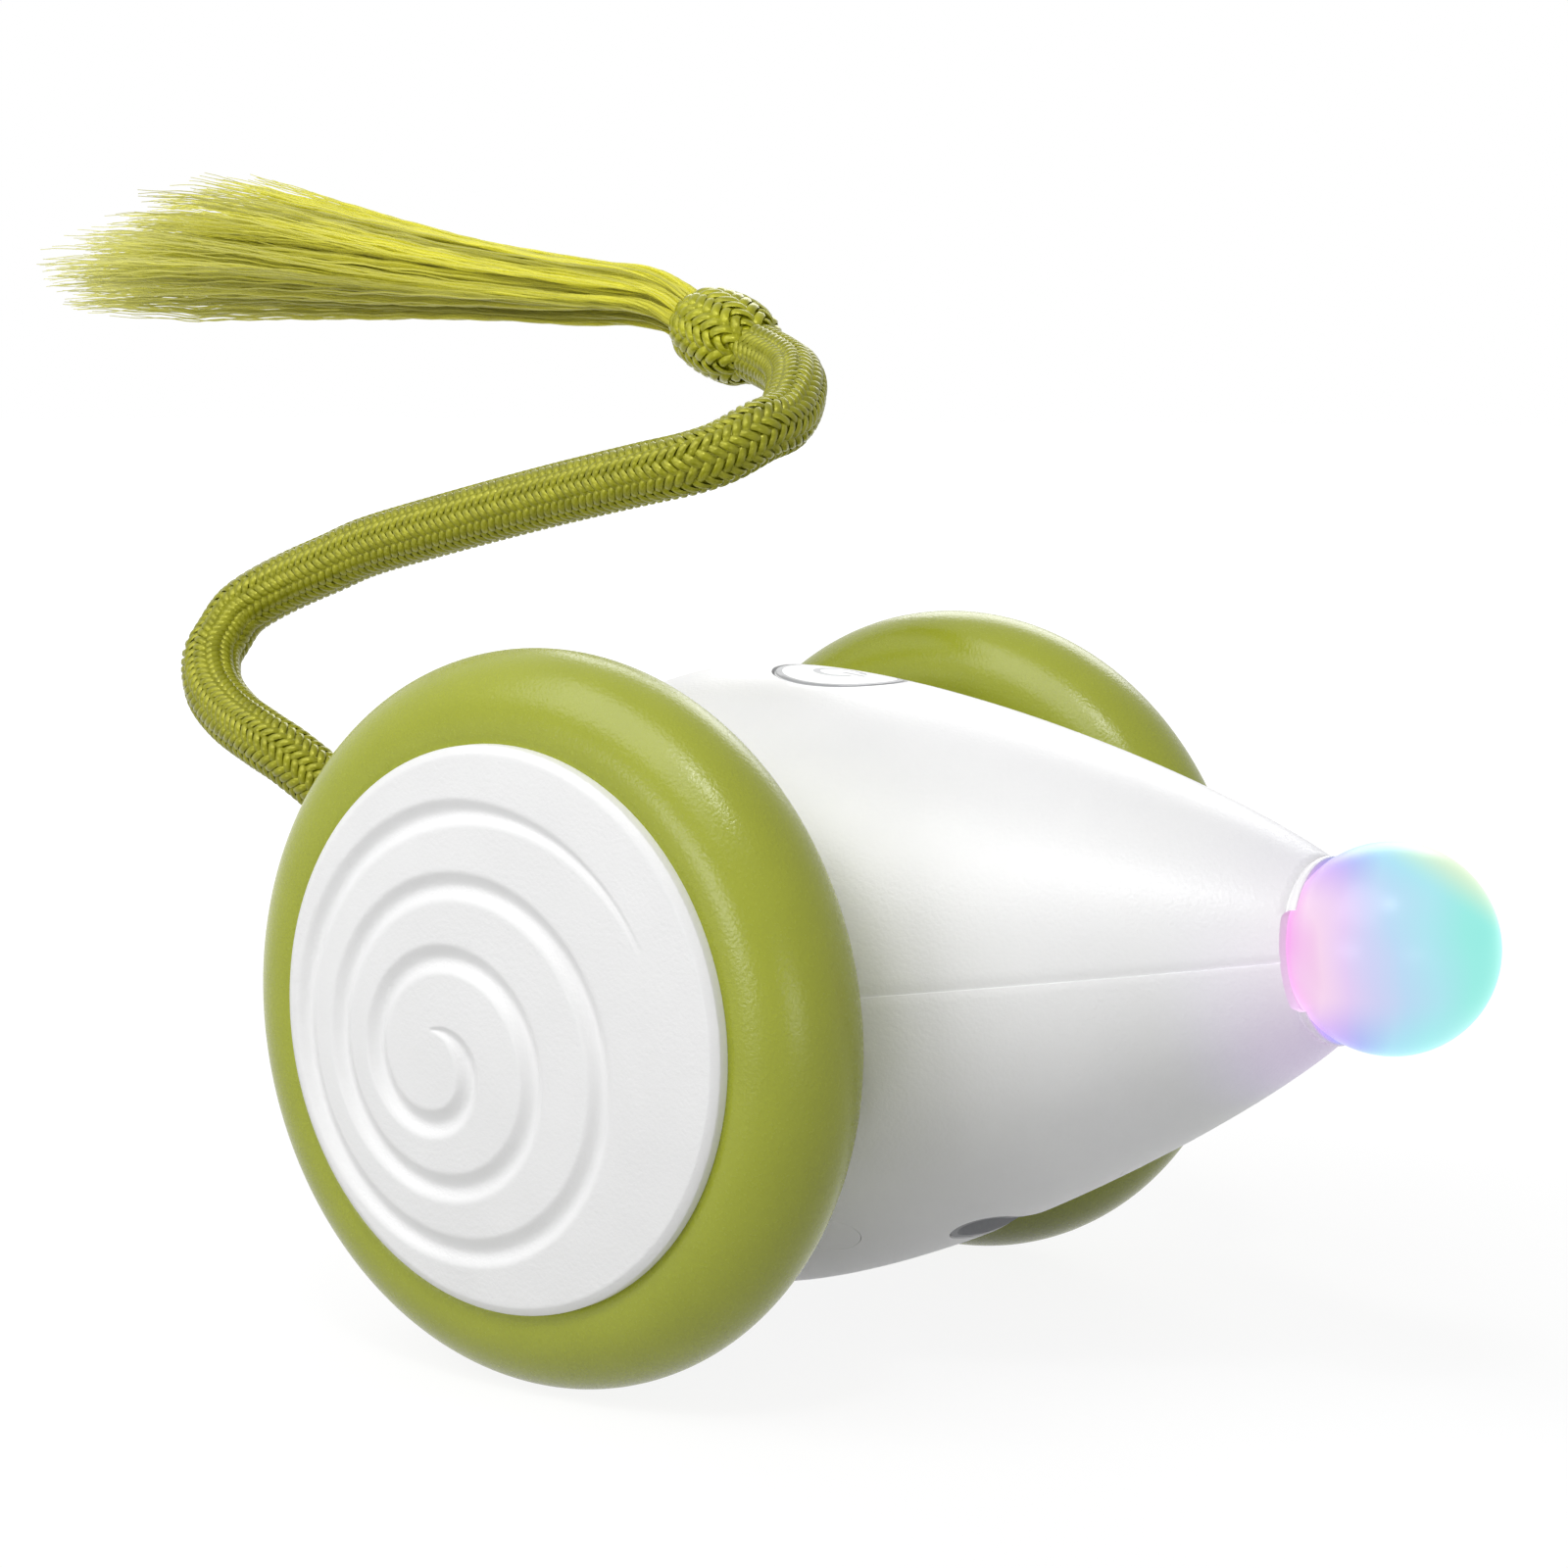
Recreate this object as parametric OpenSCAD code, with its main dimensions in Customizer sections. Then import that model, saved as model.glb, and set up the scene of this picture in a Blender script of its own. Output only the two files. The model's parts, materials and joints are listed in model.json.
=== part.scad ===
// Robotic mouse cat toy: two driven wheels, a drop-shaped two-part body that is pitched nose up
// about the axle, a lit ball for a nose, and a braided tail with a tassel.
// The part stands on its tyres, nose towards +X, axle along Y, floor at Z = 0.

/* [Body] */
// Radius of the round rear of the body, centred on the axle
body_r = 24.2; // [23.6:0.1:25]
// Wall of the two shells
wall = 1.6; // [1.2:0.1:2]
// Nose-up pitch of the body about the axle, degrees
body_pitch = 7.5; // [0:0.5:12]
// Gap between a tyre's inner side and the flat flank of the body
flank_gap = 0.63; // [0.5:0.01:1.2]
// Distance from the axle to the mouth of the snout
mouth_a = 49.6; // [48:0.2:51]
// Radius of the snout at its mouth
mouth_r = 6.6; // [6.4:0.1:7]
// Slope of the snout where it ends, degrees
snout_angle = 35; // [30:1:40]
// How far the shoulder of the body runs straight ahead of the axle
shoulder_pull = 13.3; // [10:0.1:16]
// How far the snout keeps its end slope
snout_pull = 10.75; // [8:0.25:12]

/* [Nose] */
// Diameter of the lit ball
ball_d = 14.86; // [14.2:0.02:15.2]
// Gap from the mouth of the snout to the ball's centre
ball_gap = 5; // [4.9:0.1:5.6]
// Radius of the neck that carries the ball
neck_r = 4.8; // [4.2:0.1:5]
// Height of the notch at each side of the collar
collar_gap = 7; // [4:0.5:8]

/* [Wheels] */
// Diameter over the tyres
wheel_d = 54; // [53:0.5:58]
// Diameter of the round section of a tyre
tyre_section = 10.6; // [10:0.1:11.2]
// Distance from the mid-plane to the middle of a tyre
track_half = 26.33; // [26:0.01:27]
// Diameter of the wheel cap
cap_d = 41; // [40:0.5:41.5]
// How far the edge of the cap stands above the tyre's widest point
cap_proud = 0.57; // [0.3:0.01:1]
// Rise of the domed face of the cap
cap_dome = 0.7; // [0.4:0.1:1]
// Diameter of the axles
axle_d = 3; // [2.5:0.1:3.4]

/* [Spiral groove] */
// Width of the groove
groove_w = 2.2; // [1:0.1:2.4]
// Depth of the groove
groove_depth = 0.6; // [0.3:0.05:0.7]
// Radius of the spiral at its first turn
spiral_r = 3.5; // [3:0.1:4]
// Growth of the spiral in one turn
spiral_pitch = 4.96; // [4.5:0.02:5.1]
// Number of turns
spiral_turns = 3.14; // [2:0.02:3.2]

/* [Drive] */
// Gear module
gear_module = 0.5; // [0.48:0.01:0.52]
// Teeth on the motor pinion
pinion_teeth = 12; // [12:1:13]
// Teeth on the axle gear
gear_teeth = 36; // [34:1:38]
// Width of the gear faces
gear_w = 2.6; // [2:0.1:3]
// Diameter of the motors
motor_d = 10; // [8:0.5:11]
// Angle of the motors behind and below the axle, degrees
motor_angle = 207; // [196:1:210]

/* [Electronics] */
// Battery length
battery_l = 18; // [15:0.5:18.5]
// Battery width
battery_w = 17; // [12:0.5:18]
// Place of the battery ahead of the axle
battery_a = 0.2; // [0:0.1:2]
// Thickness of the steel plate that holds the body upright between its wheels
ballast_t = 2.2; // [1.6:0.1:2.4]
// Diameter of the mode button
button_d = 10; // [9:0.5:11]
// Travel of the mode button
button_travel = 0.4; // [0.2:0.1:0.5]
// Place of the mode button ahead of the axle
button_a = 10; // [8:0.5:12]
// Place of the charging recess ahead of the axle
port_a = 20.9; // [20.5:0.1:22]
// Width of the charging recess across the body
port_w = 13.4; // [12.6:0.1:14]
// Length of the charging recess along the body
port_l = 5.2; // [5:0.1:5.6]

/* [Tail] */
// Diameter of the braided tail
tail_d = 5.2; // [4.8:0.1:5.6]
// Diameter of the bendable core that holds the tail's shape
core_d = 1.6; // [1.2:0.1:2]
// Length of the wrapped knot
knot_l = 9.8; // [9:0.1:10.4]
// Diameter of the wrapped knot
knot_d = 8.4; // [7.6:0.1:9.2]

/* [Hidden] */
$fn = 64;

left = 1;
right = -1;

// clearances
fit = 0.05;
slip = 0.25;
seat_gap = 0.1;

// places along the body axis, measured from the axle
ball_a = mouth_a + ball_gap;
lip_t = 1.4;
neck_hole_r = neck_r + slip;
ball_clear = 0.4;
collar_l = 0.4;
collar_r = mouth_r - 0.1;
notch_depth = 0.7;
ball_flange_t = 2;
ball_flange_rim = 0.6;
ball_wall = 1.4;
ball_flange_a = mouth_a - lip_t - seat_gap - ball_flange_t;
led_board_t = 1;
led_board_r = 6;
led_size = [1.2, 3.5, 2.8];

// the origin is the middle of the bottom of the box round the mouse without its tail
wheel_r = wheel_d / 2;
nose_tip_x = ball_a * cos(body_pitch) + ball_d / 2;
axle_x = -(nose_tip_x - wheel_r) / 2;

// stations along the axle, measured outwards from the mid-plane
cap_edge_w = track_half + tyre_section / 2 + cap_proud;
cap_seat_w = cap_edge_w - 1.6;
hub_in_w = track_half - tyre_section / 2 + 1;
flank_y = track_half - tyre_section / 2 - flank_gap;
hub_boss_w = flank_y + 0.8;
rim_r = wheel_r - 0.83 * tyre_section;
rim_t = 1.6;
hub_out_w = cap_seat_w - seat_gap;
hub_boss_r = 4.5;
hub_rib_t = 1.4;
cap_bevel = 0.65;
cap_bevel_h = 0.35;
axle_end_w = hub_out_w - 1;
axle_r = axle_d / 2;
bush_r = axle_r + 1.7;
bush_l = 3.4;
bush_flange_t = 0.4;
tube_r = axle_r + 1.9;

// drive train
gear_r = gear_module * gear_teeth / 2;
pinion_r = gear_module * pinion_teeth / 2;
centre_distance = gear_r + pinion_r;
pressure_angle = 25;
backlash = 0.08;
tooth_top = 0.9 * gear_module;
tooth_foot = 1.2 * gear_module;
motor_r = motor_d / 2;
motor_shaft_r = 0.75;
motor_in_w = 1;
sleeve_t = 1.2;

// the gears stand as far out as the shell and the bushes leave room, and the motors fill what is between
gear_room = 0.6;
train_reach = centre_distance + pinion_r + tooth_top;
shell_room_w = sqrt(pow(body_r - wall - gear_room, 2) - pow(train_reach, 2));
gear_out_w = min(shell_room_w, flank_y - bush_l - gear_room);
gear_in_w = gear_out_w - gear_w;
tube_half = gear_in_w - 0.5;
motor_l = tube_half - 1.1;
motor_place = centre_distance * [cos(motor_angle), sin(motor_angle)];

// boards and what they carry
board_t = 1;
board_z = 13;
board_top_z = board_z + board_t;
board_l = 24;
board_w = 17;
board_mid_a = button_a;
board_post_r = 1.6;
board_post_a = 8;
board_post_y = 6;
driver_chip = [-9, -3, 6, 6, 1.2];
sensor_chip = [2, -4, 4, 8, 0.9];
switch_w = 4.5;
switch_h = 2;
plunger_r = 1.1;
plunger_h = 0.8;
ballast_l = 14;
ballast_w = 12;
ballast_bottom_z = wall + 2.3 - body_r;
battery_bottom_z = ballast_bottom_z + ballast_t + seat_gap;
battery_gap = 0.2;
battery_top_z = motor_place[1] - motor_r - sleeve_t - battery_gap;
post_w = 2;
post_half_l = 3;
post_y = 10.4;
rib_t = 2;
rib_a = 5;
boss_r = 2.2;
screw_r = 0.8;
screw_head_r = 1.7;
screw_head_h = 1.4;
screw_l = 14;
screw_drive_r = 0.8;
screw_drive_depth = 0.8;
screw_places = [[13, 12, -9], [13, -12, -9], [33, 0, -6]];

// charging recess
cup_w = port_w - 2 * seat_gap;
cup_l = port_l - 2 * seat_gap;
cup_wall = 0.5;
cup_floor_z = -14.3;
cup_top_z = -13.5;
socket_w = 8.94;
socket_l = 3.26;
socket_wall = 0.3;
socket_mouth_z = -17.4;
tongue_t = 0.7;
tongue_w = 6.6;
tongue_inset = 0.5;
charge_board_l = 12;
charge_board_w = 15;

// tail
ferrule_r = tail_d / 2 + 0.9;
ferrule_flange_r = ferrule_r + 1.6;
ferrule_nose_a = -body_r - 2;
ferrule_rim = 0.5;
ferrule_step = 1.2;
tail_sides = 10;
tail_route = [[-21.5, 0, 24.2], [-25.5, 0, 23.6], [-29, -0.5, 24], [-32, -2, 26.5], [-34.5, -3.5, 30],
    [-37, -5.5, 34], [-40, -7, 38.5], [-44, -8, 41.5], [-47.5, -8, 43], [-52, -7, 44.5], [-56, -5.5, 46.5],
    [-58.5, -3.5, 49], [-59, -1.5, 51], [-58.5, 0, 53], [-56.5, 1, 54.5], [-53.5, 2, 56], [-49.5, 2.5, 57.5],
    [-45.5, 3, 59], [-37.5, 3.5, 61], [-26.5, 4, 63.5], [-16.5, 4, 65.5], [-11.5, 4.5, 66.5],
    [-9, 6, 67.5], [-7.5, 8.5, 69], [-7.5, 12, 70], [-9, 15.5, 72], [-11.5, 18.5, 73.5], [-14.5, 20.5, 74.5],
    [-18, 22, 75.5]];
knot_place = [-22.5, 23.5, 77];
tassel_route = [[-26.5, 24.5, 78.5], [-32, 25, 80.5], [-43, 24, 81.5], [-58.5, 20, 83.5],
    [-75, 12, 86], [-87, 6, 86]];
tassel_half_h = [2.2, 3, 3.9, 5, 6, 5.6];
tassel_half_w = [2.2, 3.2, 4.4, 5.6, 6.6, 7];
tassel_sides = 14;

// body profile: round rear, then one curve from the shoulder to the mouth, as [along, radius]
rear_steps = 16;
nose_steps = 22;
shoulder = [0, body_r];
shoulder_handle = [shoulder_pull, body_r];
snout_handle = [mouth_a - snout_pull * cos(snout_angle), mouth_r + snout_pull * sin(snout_angle)];
mouth = [mouth_a, mouth_r];

function curve_point(t) = pow(1 - t, 3) * shoulder + 3 * pow(1 - t, 2) * t * shoulder_handle
    + 3 * (1 - t) * t * t * snout_handle + t * t * t * mouth;
function curve_slope(t) = 3 * pow(1 - t, 2) * (shoulder_handle - shoulder)
    + 6 * (1 - t) * t * (snout_handle - shoulder_handle) + 3 * t * t * (mouth - snout_handle);
function inward(d) = [d[1], -d[0]] / norm(d);
function rear_points(inset) = [for (i = [0 : rear_steps - 1])
    let (angle = 180 - 90 * i / rear_steps) (body_r - inset) * [cos(angle), sin(angle)]];
function nose_points(inset) = [for (i = [0 : nose_steps])
    let (t = i / nose_steps) curve_point(t) + inset * inward(curve_slope(t))];
function body_points(inset) = concat(rear_points(inset), nose_points(inset));
function body_radius(a) = lookup(a, body_points(0));
function swap(points) = [for (p = points) [p[1], p[0]]];
function turned(list) = [for (i = [len(list) - 1 : -1 : 0]) list[i]];

button_slope = atan((body_radius(button_a - 1) - body_radius(button_a + 1)) / 2);
button_flange_depth = 2.9;
button_flange_t = 0.8;
button_flange_r = button_d / 2 + 0.9;
stem_r = 1.5;
plunger_gap = button_travel + 0.2 + stem_r * sin(button_slope);
plunger_top_z = board_top_z + switch_h + plunger_h;
button_depth = (body_radius(button_a) - plunger_top_z - plunger_gap) / cos(button_slope);

// the body's own frame: axle at the origin, nose along +X
module in_body() {
    translate([axle_x, 0, wheel_r]) rotate([0, -body_pitch, 0]) children();
}

// a wheel's frame: outwards along +Z, up along +Y
module on_side(side) {
    rotate([90, 0, side == left ? 180 : 0]) children();
}

module at_wheel(side) {
    translate([axle_x, 0, wheel_r]) on_side(side) children();
}

// turns a drawing made round Z so that it lies along the body axis
module along_body() {
    rotate([90, 0, 90]) children();
}

module revolved_half(half) {
    rotate([half > 0 ? 0 : 180, 0, 0]) along_body() rotate_extrude(angle = 180) children();
}

module body_section(inset) {
    polygon(swap(concat(body_points(inset), [[mouth_a - inset, 0]])));
}

module shell_section() {
    inner = [for (p = body_points(wall)) if (p[0] < mouth_a - lip_t) p];
    lip_a = mouth_a - lip_t;
    rim = [[mouth_a, neck_hole_r], [lip_a, neck_hole_r], [lip_a, lookup(lip_a, body_points(wall))]];
    polygon(swap(concat(body_points(0), rim, turned(inner))));
}

// solid that ends inside the wall, so that ribs and posts grow out of it
module rib_limit(half) {
    revolved_half(half) body_section(wall / 2);
}

module slab(y0, y1) {
    for (side = [left, right])
        on_side(side) translate([-ball_a, -ball_a, y0]) cube([2 * ball_a, 2 * ball_a, y1 - y0]);
}

module racetrack(w, l, h) {
    for (side = [left, right]) translate([0, side * (w - l) / 2, 0]) cylinder(d = l, h = h);
    translate([-l / 2, -(w - l) / 2, 0]) cube([l, w - l, h]);
}

module button_frame() {
    translate([button_a, 0, body_radius(button_a)]) rotate([0, button_slope, 0]) children();
}

// what both shells have: flank walls, bush seats and the posts that clamp the axle tube
module shell_inside(half) {
    slab(flank_y - wall, flank_y);
    for (side = [left, right]) {
        on_side(side) translate([0, 0, flank_y - bush_l]) cylinder(r = bush_r + wall, h = bush_l - wall / 2);
        translate([-post_half_l, side * post_y - post_w / 2, half > 0 ? 0 : -body_r])
            cube([2 * post_half_l, post_w, body_r]);
    }
    for (place = screw_places)
        translate([place[0], place[1], half > 0 ? 0 : -body_r]) cylinder(r = boss_r, h = body_r);
}

module shell_cuts() {
    on_side(left) translate([0, 0, -tube_half - seat_gap])
        cylinder(r = tube_r + fit, h = 2 * (tube_half + seat_gap));
    for (side = [left, right])
        on_side(side) translate([0, 0, flank_y - bush_l - 1]) cylinder(r = bush_r + fit, h = bush_l + 2);
    rotate([0, -90, 0]) translate([0, 0, body_r - 4]) cylinder(r = ferrule_r + fit, h = 8);
}

// raised edge of the mouth, as deep as the lip
module collar(half) {
    revolved_half(half) translate([neck_hole_r, mouth_a - lip_t / 2])
        square([collar_r - neck_hole_r, collar_l + lip_t / 2]);
}

// seat round the ball and the notch at each side of the mouth
module mouth_cuts() {
    along_body() translate([0, 0, ball_a]) sphere(d = ball_d + 2 * ball_clear);
    translate([mouth_a - notch_depth, -2 * mouth_r, -collar_gap / 2])
        cube([2 * lip_t, 4 * mouth_r, collar_gap]);
}

module shell(half) {
    difference() {
        union() {
            intersection() {
                revolved_half(half) shell_section();
                slab(-1, flank_y);
            }
            collar(half);
        }
        mouth_cuts();
    }
}

module upper_shell() {
    color("white") in_body() difference() {
        union() {
            shell(1);
            intersection() {
                rib_limit(1);
                union() {
                    shell_inside(1);
                    for (end = [-1, 1], side = [left, right])
                        translate([board_mid_a + end * board_post_a, side * board_post_y, board_top_z + fit])
                            cylinder(r = board_post_r, h = body_r);
                }
            }
        }
        shell_cuts();
        for (place = screw_places)
            translate([place[0], place[1], -1]) cylinder(r = screw_r + fit, h = place[2] + screw_l + 1.5);
        button_frame() translate([0, 0, -button_flange_depth])
            cylinder(d = button_d + 2 * slip, h = button_d);
    }
}

module lower_shell() {
    color("white") in_body() difference() {
        union() {
            shell(-1);
            intersection() {
                rib_limit(-1);
                union() {
                    shell_inside(-1);
                    for (side = [left, right])
                        translate([battery_a + side * rib_a - rib_t / 2, -rib_a, -body_r])
                            cube([rib_t, 2 * rib_a, body_r + ballast_bottom_z - fit]);
                }
            }
        }
        shell_cuts();
        for (place = screw_places) {
            translate([place[0], place[1], -body_r]) cylinder(r = screw_r + slip, h = body_r + 1);
            translate([place[0], place[1], -body_r]) cylinder(r = screw_head_r + slip, h = body_r + place[2]);
        }
        translate([port_a, 0, -body_r]) racetrack(port_w, port_l, body_r + cup_top_z);
    }
}

module shell_screws() {
    color("silver") in_body() for (place = screw_places) translate(place) {
        cylinder(r = screw_r, h = screw_l);
        translate([0, 0, -screw_head_h]) difference() {
            cylinder(r = screw_head_r, h = screw_head_h);
            translate([0, 0, -1]) cylinder(r = screw_drive_r, h = 1 + screw_drive_depth, $fn = 6);
        }
    }
}

// plugs that close the screw holes, flush with the lower shell
module screw_plugs() {
    color("white") in_body() for (place = screw_places) intersection() {
        revolved_half(-1) body_section(0);
        translate([place[0], place[1], -body_r])
            cylinder(r = screw_head_r + slip - fit, h = body_r + place[2] - screw_head_h - seat_gap);
    }
}

module mode_button() {
    color("white") in_body() {
        intersection() {
            revolved_half(1) body_section(0);
            button_frame() translate([0, 0, -button_flange_depth - button_flange_t / 2])
                cylinder(d = button_d, h = button_flange_depth + 2);
        }
        button_frame() {
            translate([0, 0, -button_flange_depth - button_flange_t])
                cylinder(r = button_flange_r, h = button_flange_t);
            translate([0, 0, -button_depth]) cylinder(r = stem_r, h = button_depth - button_flange_depth);
        }
    }
}

module mode_switch() {
    stem_end_a = button_a - button_depth * sin(button_slope);
    color("dimgray") in_body() translate([stem_end_a, 0, board_top_z]) {
        translate([-switch_w / 2, -switch_w / 2, 0]) cube([switch_w, switch_w, switch_h]);
        cylinder(r = plunger_r, h = switch_h + plunger_h);
    }
}

module main_board() {
    color("seagreen") in_body() {
        translate([board_mid_a - board_l / 2, -board_w / 2, board_z]) cube([board_l, board_w, board_t]);
        for (chip = [driver_chip, sensor_chip])
            translate([board_mid_a + chip[0], chip[1], board_z - chip[4]]) cube([chip[2], chip[3], chip[4]]);
    }
}

module drive_frame() {
    sleeve_half = motor_l;
    color("lightgray") in_body() on_side(right) difference() {
        union() {
            translate([0, 0, -tube_half]) cylinder(r = tube_r, h = 2 * tube_half);
            translate([motor_place[0], motor_place[1], -sleeve_half])
                cylinder(r = motor_r + sleeve_t, h = 2 * sleeve_half);
            rotate(motor_angle) translate([0, -1, -post_y + 2]) cube([centre_distance, 2, 2 * post_y - 4]);
        }
        translate([0, 0, -tube_half - 1]) cylinder(r = axle_r + fit, h = 2 * tube_half + 2);
        translate([motor_place[0], motor_place[1], -sleeve_half - 1])
            cylinder(r = motor_r + fit, h = 2 * sleeve_half + 2);
    }
}

// pinion and axle gear share this frame, with X pointing from the axle to the motor
module at_drive(side) {
    in_body() on_side(side) rotate(side == left ? 180 - motor_angle : motor_angle) children();
}

module motor(side) {
    color("silver") at_drive(side) translate([centre_distance, 0, motor_in_w]) difference() {
        union() {
            cylinder(r = motor_r, h = motor_l);
            cylinder(r = 1.8, h = motor_l + 0.4);
        }
        translate([0, 0, 0.8]) cylinder(r = motor_shaft_r + fit, h = motor_l + 1);
    }
}

function involute(angle) = tan(angle) * 180 / PI - angle;
function polar(r, angle) = r * [cos(angle), sin(angle)];

// one tooth's outline, root to tip and back, for a gear of this many teeth
function tooth(teeth, index) =
    let (pitch_r = gear_module * teeth / 2,
        base_r = pitch_r * cos(pressure_angle),
        tip_r = pitch_r + tooth_top,
        root_r = pitch_r - tooth_foot,
        start_r = max(base_r, root_r),
        half = 90 / teeth - backlash / 2 / pitch_r * 180 / PI + involute(pressure_angle),
        steps = 4,
        flank = [for (i = [0 : steps])
            let (r = start_r + (tip_r - start_r) * i / steps) [r, half - involute(acos(base_r / r))]],
        middle = 360 * index / teeth)
    concat([polar(root_r, middle - half)],
        [for (f = flank) polar(f[0], middle - f[1])],
        [for (f = turned(flank)) polar(f[0], middle + f[1])],
        [polar(root_r, middle + half)]);

module spur(teeth) {
    polygon([for (index = [0 : teeth - 1]) each tooth(teeth, index)]);
}

module pinion(side) {
    color("gold") at_drive(side) translate([centre_distance, 0, 0]) {
        rotate(180) translate([0, 0, gear_in_w]) linear_extrude(gear_w) spur(pinion_teeth);
        translate([0, 0, motor_in_w + 1])
            cylinder(r = motor_shaft_r, h = gear_in_w + gear_w - motor_in_w - 1);
    }
}

module axle_gear(side) {
    color("ivory") at_drive(side) rotate(180 / gear_teeth) translate([0, 0, gear_in_w]) difference() {
        linear_extrude(gear_w) spur(gear_teeth);
        translate([0, 0, -1]) cylinder(r = axle_r + fit / 2, h = gear_w + 2);
        for (i = [0 : 4])
            rotate(72 * i) translate([gear_r * 0.6, 0, -1]) cylinder(r = gear_r * 0.18, h = gear_w + 2);
    }
}

module axle(side) {
    color("silver") at_wheel(side) difference() {
        translate([0, 0, 0.6]) cylinder(r = axle_r, h = axle_end_w - 0.6);
        translate([0, 0, axle_end_w - 6]) cylinder(r = screw_r + fit, h = 7);
    }
}

module bush(side) {
    color("goldenrod") in_body() on_side(side) difference() {
        union() {
            translate([0, 0, flank_y - bush_l]) cylinder(r = bush_r, h = bush_l);
            translate([0, 0, flank_y]) cylinder(r = bush_r + 1, h = bush_flange_t);
        }
        translate([0, 0, flank_y - bush_l - 1]) cylinder(r = axle_r + fit, h = bush_l + 3);
    }
}

module hub(side) {
    web_w = track_half - 1.8;
    bowl_r = rim_r - rim_t;
    color("white") at_wheel(side) difference() {
        union() {
            rotate_extrude() polygon([[0, hub_boss_w], [hub_boss_r, hub_boss_w], [hub_boss_r, web_w],
                [bowl_r, web_w], [bowl_r, hub_in_w], [rim_r, hub_in_w], [rim_r, hub_out_w],
                [bowl_r, hub_out_w], [bowl_r, web_w + rim_t], [hub_boss_r, web_w + rim_t],
                [hub_boss_r, axle_end_w], [0, axle_end_w]]);
            for (i = [0 : 5]) rotate(60 * i) translate([axle_d, -hub_rib_t / 2, hub_in_w + 0.5])
                cube([bowl_r + rim_t / 2 - axle_d, hub_rib_t, web_w - hub_in_w]);
        }
        translate([0, 0, hub_boss_w - 1]) cylinder(r = axle_r + fit / 2, h = axle_end_w);
    }
}

module tyre(side) {
    color("olivedrab") at_wheel(side) rotate_extrude() difference() {
        translate([wheel_r - tyre_section / 2, track_half]) circle(d = tyre_section);
        translate([0, track_half - tyre_section]) square([rim_r + fit, 2 * tyre_section]);
        translate([0, cap_seat_w - fit]) square([cap_d / 2 + slip, tyre_section]);
    }
}

// the spiral's middle drifts from behind and below the cap's centre towards it as the spiral grows
spiral_start = [-5.33, -2.6];
spiral_drift = [1.2, 0.4];
spiral_steps = 22;
spiral_first_turn = -0.22;
spiral_taper = 0.2;
function spiral_half_width(u) =
    let (from_end = min(u - spiral_first_turn, spiral_first_turn + spiral_turns - u))
    groove_w / 2 * min(1, 0.15 + 0.85 * from_end / spiral_taper);
function spiral_point(u, offset) = spiral_start + u * spiral_drift
    + polar(spiral_r + spiral_pitch * u + offset, -360 * u);

module spiral_band() {
    count = floor(spiral_turns * spiral_steps);
    turns = [for (i = [0 : count]) spiral_first_turn + spiral_turns * i / count];
    polygon(concat([for (u = turns) spiral_point(u, spiral_half_width(u))],
        [for (u = turned(turns)) spiral_point(u, -spiral_half_width(u))]));
}

// region under the domed face of the cap, lowered by a depth
module cap_face_section(depth, reach, bottom) {
    face_r = cap_d / 2 - cap_bevel;
    sphere_r = (face_r * face_r + cap_dome * cap_dome) / (2 * cap_dome);
    intersection() {
        translate([0, cap_edge_w + cap_bevel_h + cap_dome - sphere_r - depth])
            circle(r = sphere_r, $fn = 720);
        translate([0, bottom]) square([reach, cap_edge_w]);
    }
}

module cap(side) {
    cap_r = cap_d / 2;
    skirt_r = rim_r - rim_t - seat_gap;
    skirt_in_r = skirt_r - 1.2;
    skirt_in_w = track_half + 1;
    plate_w = cap_edge_w - 1;
    plate_top_w = plate_w + 0.2;
    land_r = cap_r - cap_bevel - 0.5;
    face_w = cap_edge_w + cap_bevel_h;
    color("whitesmoke") at_wheel(side) difference() {
        union() {
            rotate_extrude() cap_face_section(0, cap_r - cap_bevel, plate_w);
            rotate_extrude() polygon([[skirt_in_r, skirt_in_w], [skirt_r, skirt_in_w], [skirt_r, cap_seat_w],
                [cap_r, cap_seat_w], [cap_r, cap_edge_w], [cap_r - cap_bevel, face_w], [land_r, face_w],
                [land_r, plate_top_w], [skirt_in_r, plate_top_w]]);
        }
        difference() {
            translate([0, 0, plate_w - 1]) linear_extrude(cap_edge_w) spiral_band();
            rotate_extrude() cap_face_section(groove_depth, cap_r + 1, plate_w - 2);
        }
    }
}

module wheel_screw(side) {
    color("silver") at_wheel(side) {
        translate([0, 0, axle_end_w - 5]) cylinder(r = screw_r, h = 5);
        translate([0, 0, axle_end_w]) cylinder(r = 2.4, h = 0.9);
    }
}

module battery() {
    color("slategray") in_body() translate([battery_a - battery_l / 2, -battery_w / 2, battery_bottom_z])
        cube([battery_l, battery_w, battery_top_z - battery_bottom_z]);
}

module ballast() {
    color("silver") in_body() translate([battery_a - ballast_l / 2, -ballast_w / 2, ballast_bottom_z])
        cube([ballast_l, ballast_w, ballast_t]);
}

module port_cup() {
    color("gray") in_body() translate([port_a, 0, 0]) difference() {
        intersection() {
            translate([-port_a, 0, 0]) revolved_half(-1) body_section(seat_gap);
            translate([0, 0, -body_r]) racetrack(cup_w, cup_l, body_r + cup_top_z);
        }
        translate([0, 0, -body_r])
            racetrack(cup_w - 2 * cup_wall, cup_l - 2 * cup_wall, body_r + cup_floor_z);
        translate([0, 0, -body_r]) racetrack(socket_w + 2 * fit, socket_l + 2 * fit, body_r);
    }
}

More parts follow.
